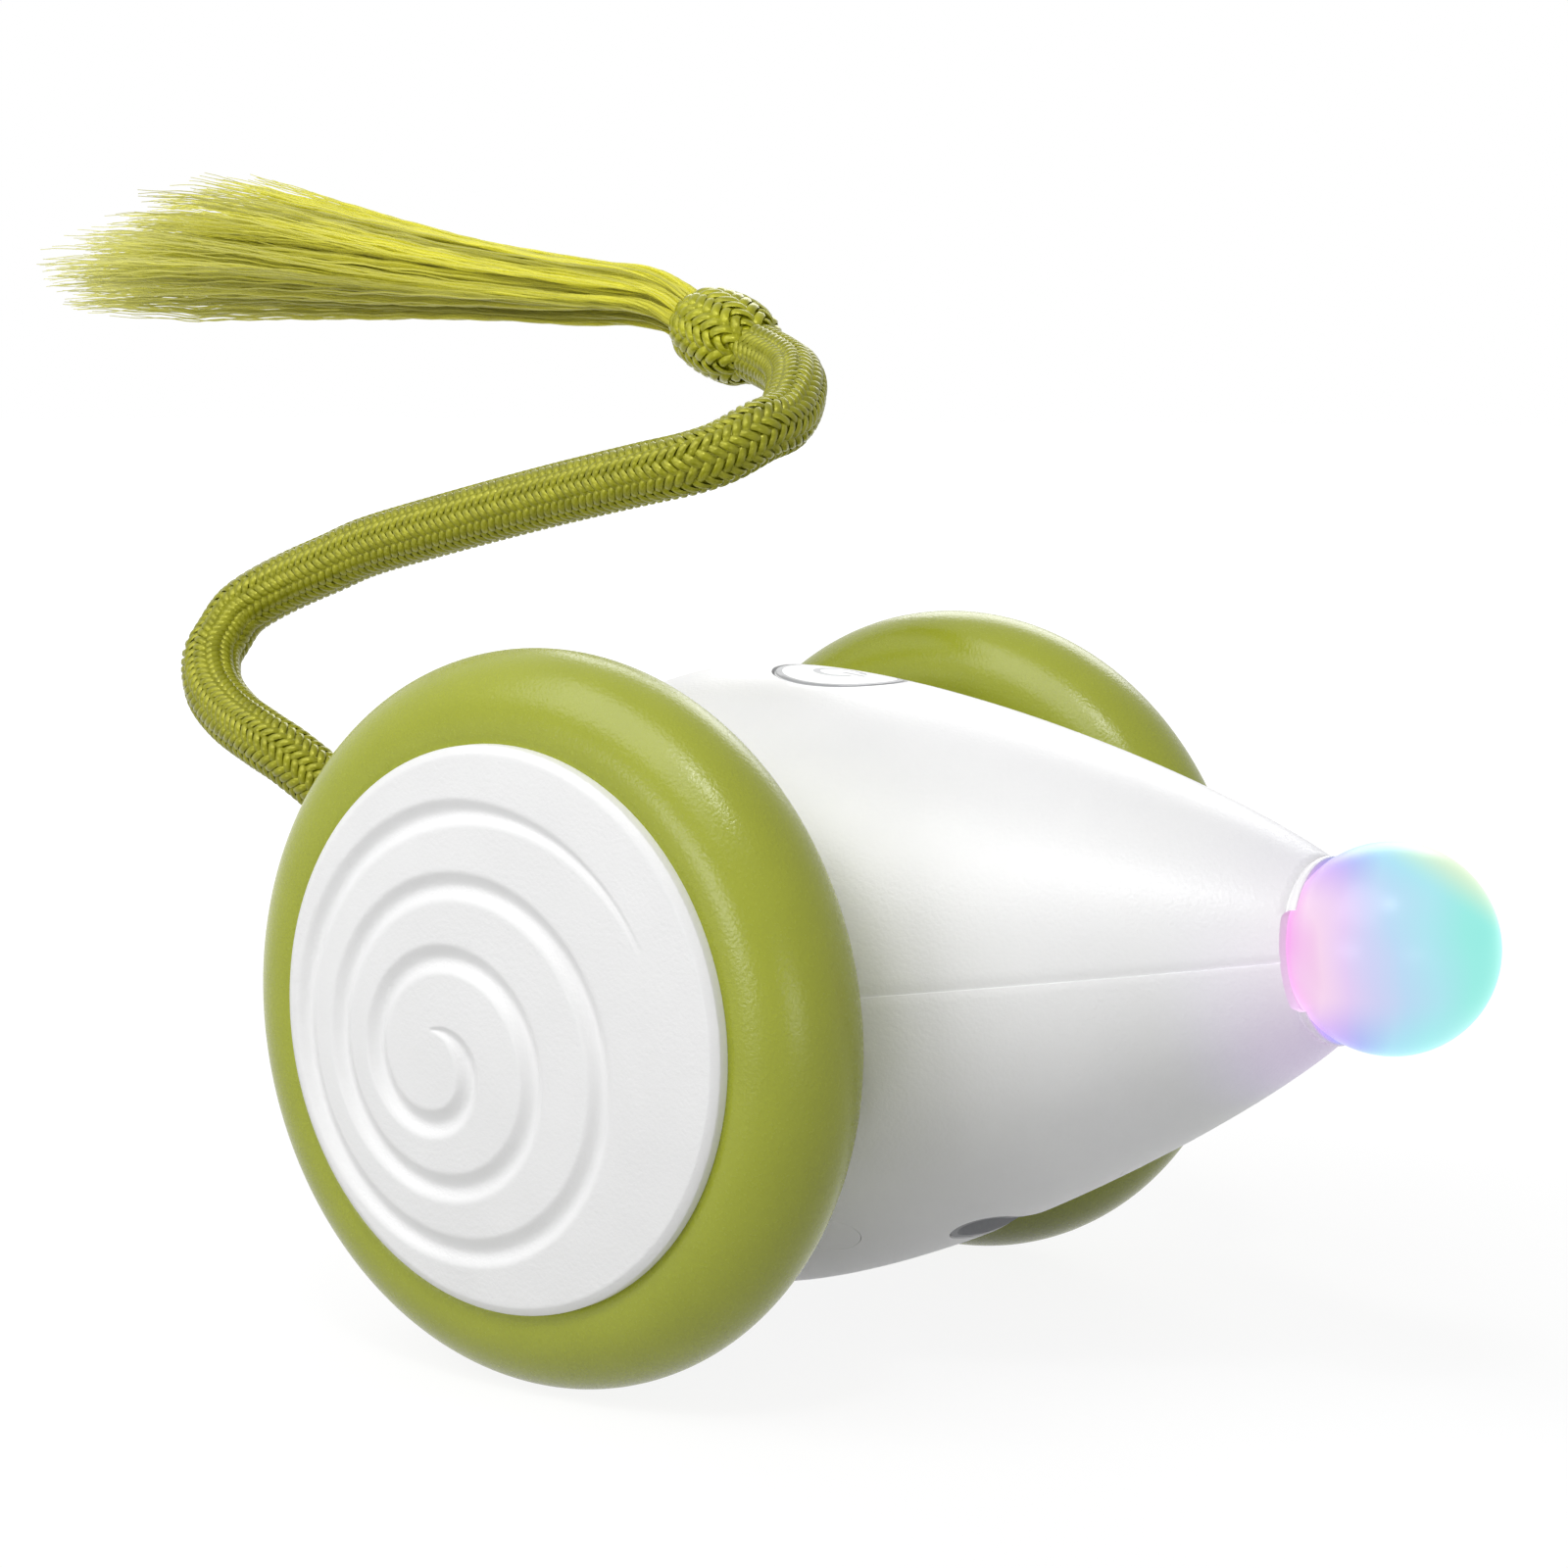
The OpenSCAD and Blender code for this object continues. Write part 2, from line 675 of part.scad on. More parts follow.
module charge_socket() {
    socket_h = cup_top_z - fit - socket_mouth_z;
    color("silver") in_body() translate([port_a, 0, 0]) {
        difference() {
            translate([0, 0, socket_mouth_z]) racetrack(socket_w, socket_l, socket_h);
            translate([0, 0, socket_mouth_z - socket_wall])
                racetrack(socket_w - 2 * socket_wall, socket_l - 2 * socket_wall, socket_h);
        }
        translate([-tongue_t / 2, -tongue_w / 2, socket_mouth_z + tongue_inset])
            cube([tongue_t, tongue_w, socket_h - tongue_inset - socket_wall / 2]);
    }
}

module charge_board() {
    color("seagreen") in_body() translate([port_a - charge_board_l / 2, -charge_board_w / 2, cup_top_z])
        cube([charge_board_l, charge_board_w, board_t]);
}

module led_board() {
    color("seagreen") in_body() along_body() translate([0, 0, ball_flange_a - led_board_t])
        cylinder(r = led_board_r, h = led_board_t);
}

module nose_led() {
    color("white") in_body() translate([ball_flange_a, -led_size[1] / 2, -led_size[2] / 2]) cube(led_size);
}

module nose_ball() {
    neck_l = ball_a - ball_flange_a;
    color("plum") in_body() difference() {
        union() {
            translate([ball_a, 0, 0]) sphere(d = ball_d);
            along_body() translate([0, 0, ball_flange_a]) cylinder(r = neck_r, h = neck_l);
            along_body() translate([0, 0, ball_flange_a])
                cylinder(r = neck_r + ball_flange_rim, h = ball_flange_t);
        }
        along_body() translate([0, 0, ball_flange_a - 1]) cylinder(r = neck_r - ball_wall, h = neck_l);
    }
}

module tail_ferrule() {
    flange_a = -sqrt(pow(body_r - wall, 2) - pow(ferrule_flange_r, 2)) + seat_gap;
    bore_r = tail_d / 2 + fit;
    color("white") in_body() along_body() rotate_extrude() polygon([[bore_r, ferrule_nose_a],
        [bore_r + ferrule_rim, ferrule_nose_a], [ferrule_r, ferrule_nose_a + ferrule_step],
        [ferrule_r, flange_a], [ferrule_flange_r, flange_a], [ferrule_flange_r, flange_a + ferrule_step],
        [bore_r, flange_a + ferrule_step]]);
}

// sweeping along a route of points: each station has its own frame square to the route
function unit(v) = v / norm(v);
function heading(route, i) = unit(route[min(i + 1, len(route) - 1)] - route[max(i - 1, 0)]);
function spline_point(route, i, t) =
    let (p0 = route[max(i - 1, 0)], p1 = route[i], p2 = route[i + 1],
        p3 = route[min(i + 2, len(route) - 1)])
    0.5 * (2 * p1 + t * (p2 - p0) + t * t * (2 * p0 - 5 * p1 + 4 * p2 - p3)
        + t * t * t * (3 * p1 - p0 - 3 * p2 + p3));
function smooth_route(route, steps) = concat(
    [for (i = [0 : len(route) - 2], k = [0 : steps - 1]) spline_point(route, i, k / steps)],
    [route[len(route) - 1]]);
function ring(route, i, half_w, half_h, sides) =
    let (along = heading(route, i), across = unit(cross([0, 0, 1], along)), over = cross(along, across))
    [for (k = [0 : sides - 1])
        let (angle = 360 * k / sides) route[i] + half_w * cos(angle) * across + half_h * sin(angle) * over];

// a tube or bar: rings of points joined by faces, with flat ends
module swept(route, half_w, half_h, sides) {
    count = len(route);
    points = [for (i = [0 : count - 1]) each ring(route, i, half_w[i], half_h[i], sides)];
    walls = [for (i = [0 : count - 2], k = [0 : sides - 1])
        let (a = i * sides + k, b = i * sides + (k + 1) % sides)
        each [[a, a + sides, b], [b, a + sides, b + sides]]];
    ends = [[for (k = [0 : sides - 1]) k], [for (k = [sides - 1 : -1 : 0]) (count - 1) * sides + k]];
    polyhedron(points, concat(walls, ends));
}

// a hollow tube, with the bore's rings inside the outer ones
module swept_sleeve(route, outer_r, bore_r, sides) {
    count = len(route);
    outer = [for (i = [0 : count - 1]) each ring(route, i, outer_r, outer_r, sides)];
    bore = [for (i = [0 : count - 1]) each ring(route, i, bore_r, bore_r, sides)];
    shift = count * sides;
    last = (count - 1) * sides;
    walls = [for (i = [0 : count - 2], k = [0 : sides - 1])
        let (a = i * sides + k, b = i * sides + (k + 1) % sides)
        each [[a, a + sides, b], [b, a + sides, b + sides],
            [a + shift, b + shift, a + sides + shift], [b + shift, b + sides + shift, a + sides + shift]]];
    ends = [for (k = [0 : sides - 1])
        let (b = (k + 1) % sides)
        each [[k, b, k + shift], [b, b + shift, k + shift],
            [last + k, last + k + shift, last + b], [last + b, last + k + shift, last + b + shift]]];
    polyhedron(concat(outer, bore), concat(walls, ends));
}

module from_axle() {
    translate([axle_x, 0, 0]) children();
}

tail_line = smooth_route(tail_route, 2);
function all_of(value, list) = [for (p = list) value];

module tail_braid() {
    color("yellowgreen") from_axle() swept_sleeve(tail_line, tail_d / 2, core_d / 2 + fit, tail_sides);
}

module tail_core() {
    color("silver") from_axle()
        swept(tail_line, all_of(core_d / 2, tail_line), all_of(core_d / 2, tail_line), tail_sides);
}

module tail_knot() {
    way = unit(tassel_route[0] - tail_route[len(tail_route) - 1]);
    tilt = acos(way[2]);
    swing = atan2(way[1], way[0]);
    color("olivedrab") from_axle() translate(knot_place) rotate([0, tilt, swing]) rotate_extrude()
        polygon(concat([for (i = [0 : 10])
            let (z = -knot_l / 2 + knot_l * i / 10, r = knot_d / 2 * sqrt(1 - 0.8 * pow(2 * z / knot_l, 2)))
            [r, z]], [[0, knot_l / 2], [0, -knot_l / 2]]));
}

module tail_tassel() {
    color("yellow") from_axle() swept(tassel_route, tassel_half_w, tassel_half_h, tassel_sides);
}

upper_shell();
lower_shell();
shell_screws();
screw_plugs();
mode_button();
mode_switch();
main_board();
drive_frame();
motor(left);  // left_motor
motor(right);  // right_motor
bush(left);  // left_bush
bush(right);  // right_bush
battery();
ballast();
charge_board();
charge_socket();
port_cup();
led_board();
nose_led();
nose_ball();
tail_ferrule();
tail_core();
tail_braid();
tail_knot();
tail_tassel();
pinion(left);  // left_pinion
pinion(right);  // right_pinion
axle(left);  // left_axle
axle_gear(left);  // left_gear
hub(left);  // left_hub
tyre(left);  // left_tyre
cap(left);  // left_cap
wheel_screw(left);  // left_wheel_screw
axle(right);  // right_axle
axle_gear(right);  // right_gear
hub(right);  // right_hub
tyre(right);  // right_tyre
cap(right);  // right_cap
wheel_screw(right);  // right_wheel_screw
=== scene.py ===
import json
import math
import bmesh
import bpy
import numpy as np
from mathutils import Matrix, Vector


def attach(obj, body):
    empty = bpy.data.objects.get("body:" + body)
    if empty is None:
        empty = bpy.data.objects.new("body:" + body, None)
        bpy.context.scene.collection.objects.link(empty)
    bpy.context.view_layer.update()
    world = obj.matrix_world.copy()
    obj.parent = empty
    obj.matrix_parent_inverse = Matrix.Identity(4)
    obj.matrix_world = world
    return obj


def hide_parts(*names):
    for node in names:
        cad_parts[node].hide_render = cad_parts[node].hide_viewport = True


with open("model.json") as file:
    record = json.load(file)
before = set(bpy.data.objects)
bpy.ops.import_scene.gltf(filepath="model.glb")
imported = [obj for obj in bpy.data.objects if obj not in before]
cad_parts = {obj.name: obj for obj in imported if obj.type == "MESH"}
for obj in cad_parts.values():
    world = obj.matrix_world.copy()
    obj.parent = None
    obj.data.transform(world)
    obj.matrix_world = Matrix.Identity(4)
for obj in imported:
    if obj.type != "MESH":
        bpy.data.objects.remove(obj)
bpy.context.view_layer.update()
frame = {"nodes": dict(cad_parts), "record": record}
nodes = frame["nodes"]
scene = bpy.context.scene
mm = 0.001
rng = np.random.default_rng(11)

# sizes shared by the pieces, in mm, as the CAD has them
toy = {
    "wheelR": 27.0, "axleX": -17.2814, "pitch": 7.5, "bodyR": 24.2, "wall": 1.6, "flankY": 20.4,
    "mouthA": 49.6, "mouthR": 6.6, "snoutAngle": 35.0, "shoulderPull": 13.3, "snoutPull": 10.75,
    "ballA": 54.6, "ballR": 7.43, "neckR": 4.8,
}


def linear(hexText):
    # sRGB hex to the linear colour that sockets take
    parts = [int(hexText[i:i + 2], 16) / 255 for i in (1, 3, 5)]
    return tuple(c / 12.92 if c <= 0.04045 else ((c + 0.055) / 1.055) ** 2.4 for c in parts) + (1.0,)


def addNode(tree, kind, inputs=None, **settings):
    # one node, its settings, and values or links for its inputs
    node = tree.nodes.new(kind)
    for key, value in settings.items():
        setattr(node, key, value)
    for key, value in (inputs or {}).items():
        if isinstance(value, bpy.types.NodeSocket):
            tree.links.new(value, node.inputs[key])
        else:
            node.inputs[key].default_value = value
    return node


def startMaterial(name, **sockets):
    # a Principled surface with its constants set on its own sockets
    material = bpy.data.materials.new(name)
    material.use_nodes = True
    tree = material.node_tree
    shader = tree.nodes["Principled BSDF"]
    for key, value in sockets.items():
        shader.inputs[key.replace("_", " ")].default_value = value
    place = addNode(tree, "ShaderNodeTexCoord").outputs["Object"]
    return material, tree, shader, place


def perMm(size):
    # texture scale for a feature of this many millimetres
    return 1 / (size * mm)


def setTones(ramp, tones):
    # colours along a ramp, as (place, hex)
    first, last = ramp.elements
    first.position, first.color = tones[0][0], linear(tones[0][1])
    last.position, last.color = tones[-1][0], linear(tones[-1][1])
    for at, colour in tones[1:-1]:
        ramp.elements.new(at).color = linear(colour)


def mottle(tree, shader, place, size, detail, tones):
    # soft patches of colour, this many mm wide
    patches = addNode(tree, "ShaderNodeTexNoise", {"Vector": place, "Scale": perMm(size), "Detail": detail})
    tone = addNode(tree, "ShaderNodeValToRGB", {"Fac": patches.outputs["Fac"]})
    setTones(tone.color_ramp, tones)
    tree.links.new(tone.outputs["Color"], shader.inputs["Base Color"])


def grain(tree, shader, place, size, detail, gloss=None, relief=None):
    # fine grain, this many mm wide: gloss as (least, most) roughness, relief as (strength, mm)
    grit = addNode(tree, "ShaderNodeTexNoise", {"Vector": place, "Scale": perMm(size), "Detail": detail})
    if gloss:
        polish = addNode(tree, "ShaderNodeMapRange",
                         {"Value": grit.outputs["Fac"], "To Min": gloss[0], "To Max": gloss[1]})
        tree.links.new(polish.outputs["Result"], shader.inputs["Roughness"])
    if relief:
        bump = addNode(tree, "ShaderNodeBump", {"Height": grit.outputs["Fac"], "Strength": relief[0],
                                                "Distance": relief[1] * mm})
        tree.links.new(bump.outputs["Normal"], shader.inputs["Normal"])


def onAxis(along):
    # point on the body's tilted axis, in metres
    tilt = math.radians(toy["pitch"])
    return ((toy["axleX"] + along * math.cos(tilt)) * mm, 0, (toy["wheelR"] + along * math.sin(tilt)) * mm)


def tidyMesh(mesh, distance):
    # joins points that coincide and turns all faces outwards
    work = bmesh.new()
    work.from_mesh(mesh)
    bmesh.ops.remove_doubles(work, verts=work.verts, dist=distance)
    bmesh.ops.recalc_face_normals(work, faces=work.faces)
    work.to_mesh(mesh)
    work.free()


def addPiece(name, points, faces, material, body, sharp=35):
    # a mesh from points in metres in the shared frame
    mesh = bpy.data.meshes.new(name)
    mesh.from_pydata([tuple(p) for p in points], [], [tuple(f) for f in faces])
    mesh.validate()
    mesh.update()
    piece = bpy.data.objects.new(name, mesh)
    scene.collection.objects.link(piece)
    finishPiece(piece, material, body, sharp)
    return piece


def finishPiece(piece, material, body, sharp=35):
    # material, smooth shading, body and slot
    piece.data.materials.clear()
    piece.data.materials.append(material)
    piece.data.polygons.foreach_set("use_smooth", [True] * len(piece.data.polygons))
    piece.data.set_sharp_from_angle(angle=math.radians(sharp))
    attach(piece, body)


def gridFaces(rows, columns, closed):
    # quads between rows of points, wrapped round if closed
    faces = []
    for i in range(rows - 1):
        for k in range(columns if closed else columns - 1):
            n = (k + 1) % columns
            faces.append((i * columns + k, i * columns + n, (i + 1) * columns + n, (i + 1) * columns + k))
    return faces


# camera at the photo's place
view = {"place": (0.14462, -0.2119, 0.07242), "back": (0.5996, -0.7923, 0.1141), "lens": 78.863}
camera = bpy.data.objects.new("camera", bpy.data.cameras.new("camera"))
scene.collection.objects.link(camera)
camera.data.sensor_width = 36
camera.data.lens = view["lens"]
camera.data.clip_start = 0.01
camera.location = view["place"]
camera.rotation_mode = "QUATERNION"
camera.rotation_quaternion = (-Vector(view["back"])).to_track_quat("-Z", "Y")
scene.camera = camera
scene.view_settings.view_transform = "Standard"
print("camera set")

# Braided polyester: silky filament yarn, so each stitch glints along its back
# the knot's colours are lighter than the braid's: painted glints on the same yarn
yarnColours = {"braid": ("#76780F", "#94951C"), "knot": ("#84860C", "#A8A91A")}


def braidedPolyester(name, deep, light):
    material, tree, shader, place = startMaterial(
        name, Roughness=0.26, IOR=1.55, Specular_IOR_Level=1.0, Specular_Tint=linear("#F6F280"),
        Anisotropic=0.75)
    # filaments run along the yarn, so its glints spread across it
    weave = addNode(tree, "ShaderNodeTangent", direction_type="UV_MAP", uv_map="UVMap")
    tree.links.new(weave.outputs["Tangent"], shader.inputs["Tangent"])
    mottle(tree, shader, place, size=1.1, detail=3, tones=[(0.3, deep), (0.7, light)])
    # filaments are 0.02 mm; drawn at 0.12 mm so that they show
    grain(tree, shader, place, size=0.12, detail=2, relief=(0.15, 0.04))
    return material


braidMaterial = braidedPolyester("braidedPolyester", *yarnColours["braid"])
# the knot's copy of the braid, lightened by painted glints
knotMaterialWithPaintedGlints = braidedPolyester("wrappedPolyesterPaintedGlints", *yarnColours["knot"])

# tail route, the CAD's points with the axle at x = 0, in mm
tail = {
    "route": [
        (-21.5, 0, 24.2), (-25.5, 0, 23.6), (-29, -0.5, 24), (-32, -2, 26.5), (-34.5, -3.5, 30),
        (-37, -5.5, 34), (-40, -7, 38.5), (-44, -8, 41.5), (-47.5, -8, 43), (-52, -7, 44.5), (-56, -5.5, 46.5),
        (-58.5, -3.5, 49), (-59, -1.5, 51), (-58.5, 0, 53), (-56.5, 1, 54.5), (-53.5, 2, 56), (-49.5, 2.5, 57.5),
        (-45.5, 3, 59), (-37.5, 3.5, 61), (-26.5, 4, 63.5), (-16.5, 4, 65.5), (-11.5, 4.5, 66.5),
        (-9, 6, 67.5), (-7.5, 8.5, 69), (-7.5, 12, 70), (-9, 15.5, 72), (-11.5, 18.5, 73.5),
        (-14.5, 20.5, 74.5), (-18, 22, 75.5)],
    "diameter": 5.2, "carriers": 24, "turnLength": 9.4, "yarnWide": 0.66, "yarnHigh": 0.36, "step": 0.16,
    "smooth": 12, "coreEvery": 6,
}
knot = {
    "place": (-22.5, 23.5, 77), "length": 10.2, "diameter": 8.6, "carriers": 32, "turnLength": 19.0,
    "yarnWide": 0.9, "yarnHigh": 0.46, "step": 0.16, "flat": 0.1, "coreEvery": 3, "coreSides": 32,
    "drawnIn": 0.82, "square": 2.6, "least": 0.1,  # how the barrel narrows to its ends
}
tassel = {
    "route": [(-26.5, 24.5, 78.5), (-32, 25, 80.5), (-43, 24, 81.5), (-58.5, 20, 83.5), (-75, 12, 86),
              (-87, 6, 86)],
    "halfHigh": [2.2, 3, 4, 5.4, 7, 6.6], "halfWide": [2.2, 3.2, 4.4, 5.6, 6.6, 7], "fill": 0.92,
    "smooth": 16, "step": 0.5, "yarns": 72, "filaments": 14, "filamentD": 0.2, "points": 48, "sides": 3,
    "inmost": 0.02, "yarnTurn": 0.7, "sway": (0.3, 1.1), "swayWaves": 1.3, "swayHigh": 0.5,
    "end": 0.93, "endRise": 0.07, "endFall": 0.24, "yarnVary": 0.05, "tipVary": (-0.07, 0.05),
    "fray": 0.16, "frayTip": 0.75, "frayFrom": 0.25, "frayGrows": 1.5, "frayHigh": 0.8,
    "twists": 5, "twistR": 0.22, "twistEnd": 0.5, "crimp": 0.09, "crimps": 11, "crimpFrom": 0.5,
    "crimpGrows": 3, "thick": 1.25, "thins": 0.95, "thickLimits": (0.3, 1.2),
    "tone": (0.1, 0.9), "toneVary": 0.12,
}


def fromAxle(points):
    # points in mm from the axle, as points in metres in the shared frame
    return (np.asarray(points, float) + (toy["axleX"], 0, 0)) * mm


def smoothLine(points, steps):
    # Catmull-Rom curve through the points
    p = np.asarray(points, float)
    out = []
    for i in range(len(p) - 1):
        p0, p1, p2, p3 = p[max(i - 1, 0)], p[i], p[i + 1], p[min(i + 2, len(p) - 1)]
        for k in range(steps):
            t = k / steps
            out.append(0.5 * (2 * p1 + t * (p2 - p0) + t * t * (2 * p0 - 5 * p1 + 4 * p2 - p3)
                              + t ** 3 * (3 * p1 - p0 - 3 * p2 + p3)))
    out.append(p[-1])
    return np.array(out)


def evenLine(points, step):
    # the same line with points at even distance
    lengths = np.concatenate([[0], np.cumsum(np.linalg.norm(np.diff(points, axis=0), axis=1))])
    at = np.linspace(0, lengths[-1], max(2, int(round(lengths[-1] / step)) + 1))
    return np.stack([np.interp(at, lengths, points[:, i]) for i in range(3)], 1), at


def frames(line):
    # tangent and two side directions that don't twist along the line
    tangent = np.gradient(line, axis=0)
    tangent /= np.linalg.norm(tangent, axis=1)[:, None]
    side = np.cross(tangent[0], (0, 0, 1.0))
    first = np.zeros_like(line)
    for i, t in enumerate(tangent):
        side = side - t * np.dot(side, t)
        side /= np.linalg.norm(side)
        first[i] = side
    return tangent, first, np.cross(tangent, first)


def sweptYarn(centre, outward, halfWide, halfHigh, sides):
    # points of a flattened yarn along its centre line
    tangent = np.gradient(centre, axis=0)
    tangent /= np.linalg.norm(tangent, axis=1)[:, None]
    across = np.cross(tangent, outward)
    across /= np.linalg.norm(across, axis=1)[:, None]
    up = np.cross(across, tangent)
    angle = -np.arange(sides) * 2 * math.pi / sides
    wide = np.broadcast_to(np.asarray(halfWide, float).reshape(-1, 1, 1), (len(centre), 1, 1))
    high = np.broadcast_to(np.asarray(halfHigh, float).reshape(-1, 1, 1), (len(centre), 1, 1))
    ring = (centre[:, None] + wide * np.cos(angle)[None, :, None] * across[:, None]
            + high * np.sin(angle)[None, :, None] * up[:, None])
    return ring.reshape(-1, 3)


def layAcross(piece, values):
    # one texture coordinate pair for each point of a mesh
    loops = np.empty(len(piece.data.loops), np.int64)
    piece.data.loops.foreach_get("vertex_index", loops)
    piece.data.uv_layers.new(name="UVMap").data.foreach_set("uv", values[loops].astype(np.float32).ravel())


def yarnCoordinates(points, line, sides=6):
    # across and along each yarn
    rows, k = np.divmod(np.arange(len(points)), sides)
    return np.stack([np.cos(2 * math.pi * k / sides), rows % len(line)], 1)


braidShape = {"lift": 0.55, "square": 1.6}  # rise in yarn heights, flatness of each pass over


def braidPoints(line, at, radius, spec, sides=6):
    # two-over, two-under tubular braid: half the yarns turn one way, half the other
    _, first, second = frames(line)
    half = spec["carriers"] // 2
    turn = spec["turnLength"] * mm
    lift = spec["yarnHigh"] * mm * braidShape["lift"]
    square = braidShape["square"]
    points, faces = [], []
    oneYarn = gridFaces(len(line), sides, True)
    count = 0
    for way in (1, -1):
        for i in range(half):
            angle = way * 2 * math.pi * at / turn + 2 * math.pi * i / half
            crossing = 2 * i + way * at * spec["carriers"] / turn
            over = way * np.cos(2 * math.pi * (crossing - 0.5) / 4)
            height = lift * np.tanh(square * over) / math.tanh(square)
            outward = np.cos(angle)[:, None] * first + np.sin(angle)[:, None] * second
            centre = line + (radius + height)[:, None] * outward
            points.append(sweptYarn(centre, outward, spec["yarnWide"] * mm / 2, spec["yarnHigh"] * mm / 2, sides))
            faces += [tuple(v + count for v in f) for f in oneYarn]
            count += len(points[-1])
    return points, faces, count


def addTube(points, faces, count, line, radius, sides=20):
    # plain filling under the yarns
    _, first, second = frames(line)
    angle = np.arange(sides) * 2 * math.pi / sides
    ring = (line[:, None] + radius[:, None, None] * (np.cos(angle)[None, :, None] * first[:, None]
                                                     + np.sin(angle)[None, :, None] * second[:, None]))
    points.append(ring.reshape(-1, 3))
    faces += [tuple(v + count for v in f) for f in gridFaces(len(line), sides, True)]
    faces.append(tuple(count + k for k in reversed(range(sides))))
    faces.append(tuple(count + (len(line) - 1) * sides + k for k in range(sides)))


# the braided tail
tailLine, tailAt = evenLine(smoothLine(fromAxle(tail["route"]), tail["smooth"]), tail["step"] * mm)
midRadius = np.full(len(tailLine), (tail["diameter"] / 2 - tail["yarnHigh"]) * mm)
points, faces, count = braidPoints(tailLine, tailAt, midRadius, tail)
every = tail["coreEvery"]
addTube(points, faces, count, tailLine[::every], midRadius[::every])
tailBraid = addPiece("tailBraid", np.concatenate(points), faces, braidMaterial, "chassis", 80)
layAcross(tailBraid, yarnCoordinates(tailBraid.data.vertices, tailLine))
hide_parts("tail_braid")

# the wrapped knot: a barrel of the same braid
knotAxis = np.array(tassel["route"][0], float) - np.array(tail["route"][-1], float)
knotAxis /= np.linalg.norm(knotAxis)
knotMiddle = fromAxle([knot["place"]])[0]
knotEnds = np.stack([knotMiddle + end * knotAxis * knot["length"] * mm / 2 for end in (-1, 1)])
knotLine, knotAt = evenLine(knotEnds, knot["step"] * mm / 2)
along = 2 * knotAt / knotAt[-1] - 1
swell = np.sqrt(np.clip(1 - knot["drawnIn"] * np.abs(along) ** knot["square"], knot["least"], 1))
barrel = knot["diameter"] * mm / 2 * swell - knot["yarnHigh"] * mm
points, faces, count = braidPoints(knotLine, knotAt, barrel, knot)
every = knot["coreEvery"]
addTube(points, faces, count, knotLine[::every], barrel[::every], knot["coreSides"])
# flattened a little, as a pulled knot is
knotUp = np.array((0, 0, 1.0)) - knotAxis * knotAxis[2]
knotUp /= np.linalg.norm(knotUp)
points = np.concatenate(points)
points -= knot["flat"] * ((points - knotMiddle) @ knotUp)[:, None] * knotUp
tailKnot = addPiece("tailKnot", points, faces, knotMaterialWithPaintedGlints, "chassis", 80)
layAcross(tailKnot, yarnCoordinates(tailKnot.data.vertices, knotLine))
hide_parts("tail_knot")

# Silky filament tassel: yarns leave the knot as cords and fray into pale tips
tasselLook = {"tones": [(0, "#E4E270"), (0.5, "#E6E48A"), (1, "#E0DFAA")], "darkest": 0.74, "lightest": 1.14,
              "through": 0.5, "shadowThrough": 0.86}
tasselMaterial, tree, shader, place = startMaterial(
    "silkyFilament", Roughness=0.28, IOR=1.55, Specular_IOR_Level=0.9, Specular_Tint=linear("#F8F6B4"),
    Sheen_Weight=0.8, Sheen_Roughness=0.35, Sheen_Tint=linear("#F4F29A"))
# each point carries its strand's tone across and its place along the strand
tint = addNode(tree, "ShaderNodeUVMap")
split = addNode(tree, "ShaderNodeSeparateXYZ", {"Vector": tint.outputs["UV"]})
fade = addNode(tree, "ShaderNodeValToRGB", {"Fac": split.outputs["Y"]})
setTones(fade.color_ramp, tasselLook["tones"])
lightness = addNode(tree, "ShaderNodeMapRange", {
    "Value": split.outputs["X"], "To Min": tasselLook["darkest"], "To Max": tasselLook["lightest"]})
vary = addNode(tree, "ShaderNodeHueSaturation", {
    "Color": fade.outputs["Color"], "Value": lightness.outputs["Result"]})
tree.links.new(vary.outputs["Color"], shader.inputs["Base Color"])
# thin filaments let light through
through = addNode(tree, "ShaderNodeBsdfTranslucent", {"Color": vary.outputs["Color"]})
soft = addNode(tree, "ShaderNodeMixShader", {
    0: tasselLook["through"], 1: shader.outputs["BSDF"], 2: through.outputs["BSDF"]})
path = addNode(tree, "ShaderNodeLightPath")
shade = addNode(tree, "ShaderNodeMath", {
    0: path.outputs["Is Shadow Ray"], 1: tasselLook["shadowThrough"]}, operation="MULTIPLY")
clear = addNode(tree, "ShaderNodeBsdfTransparent", {"Color": linear("#FAFAC8")})
veil = addNode(tree, "ShaderNodeMixShader", {
    0: shade.outputs["Value"], 1: soft.outputs["Shader"], 2: clear.outputs["BSDF"]})
tree.links.new(veil.outputs["Shader"], tree.nodes["Material Output"].inputs["Surface"])

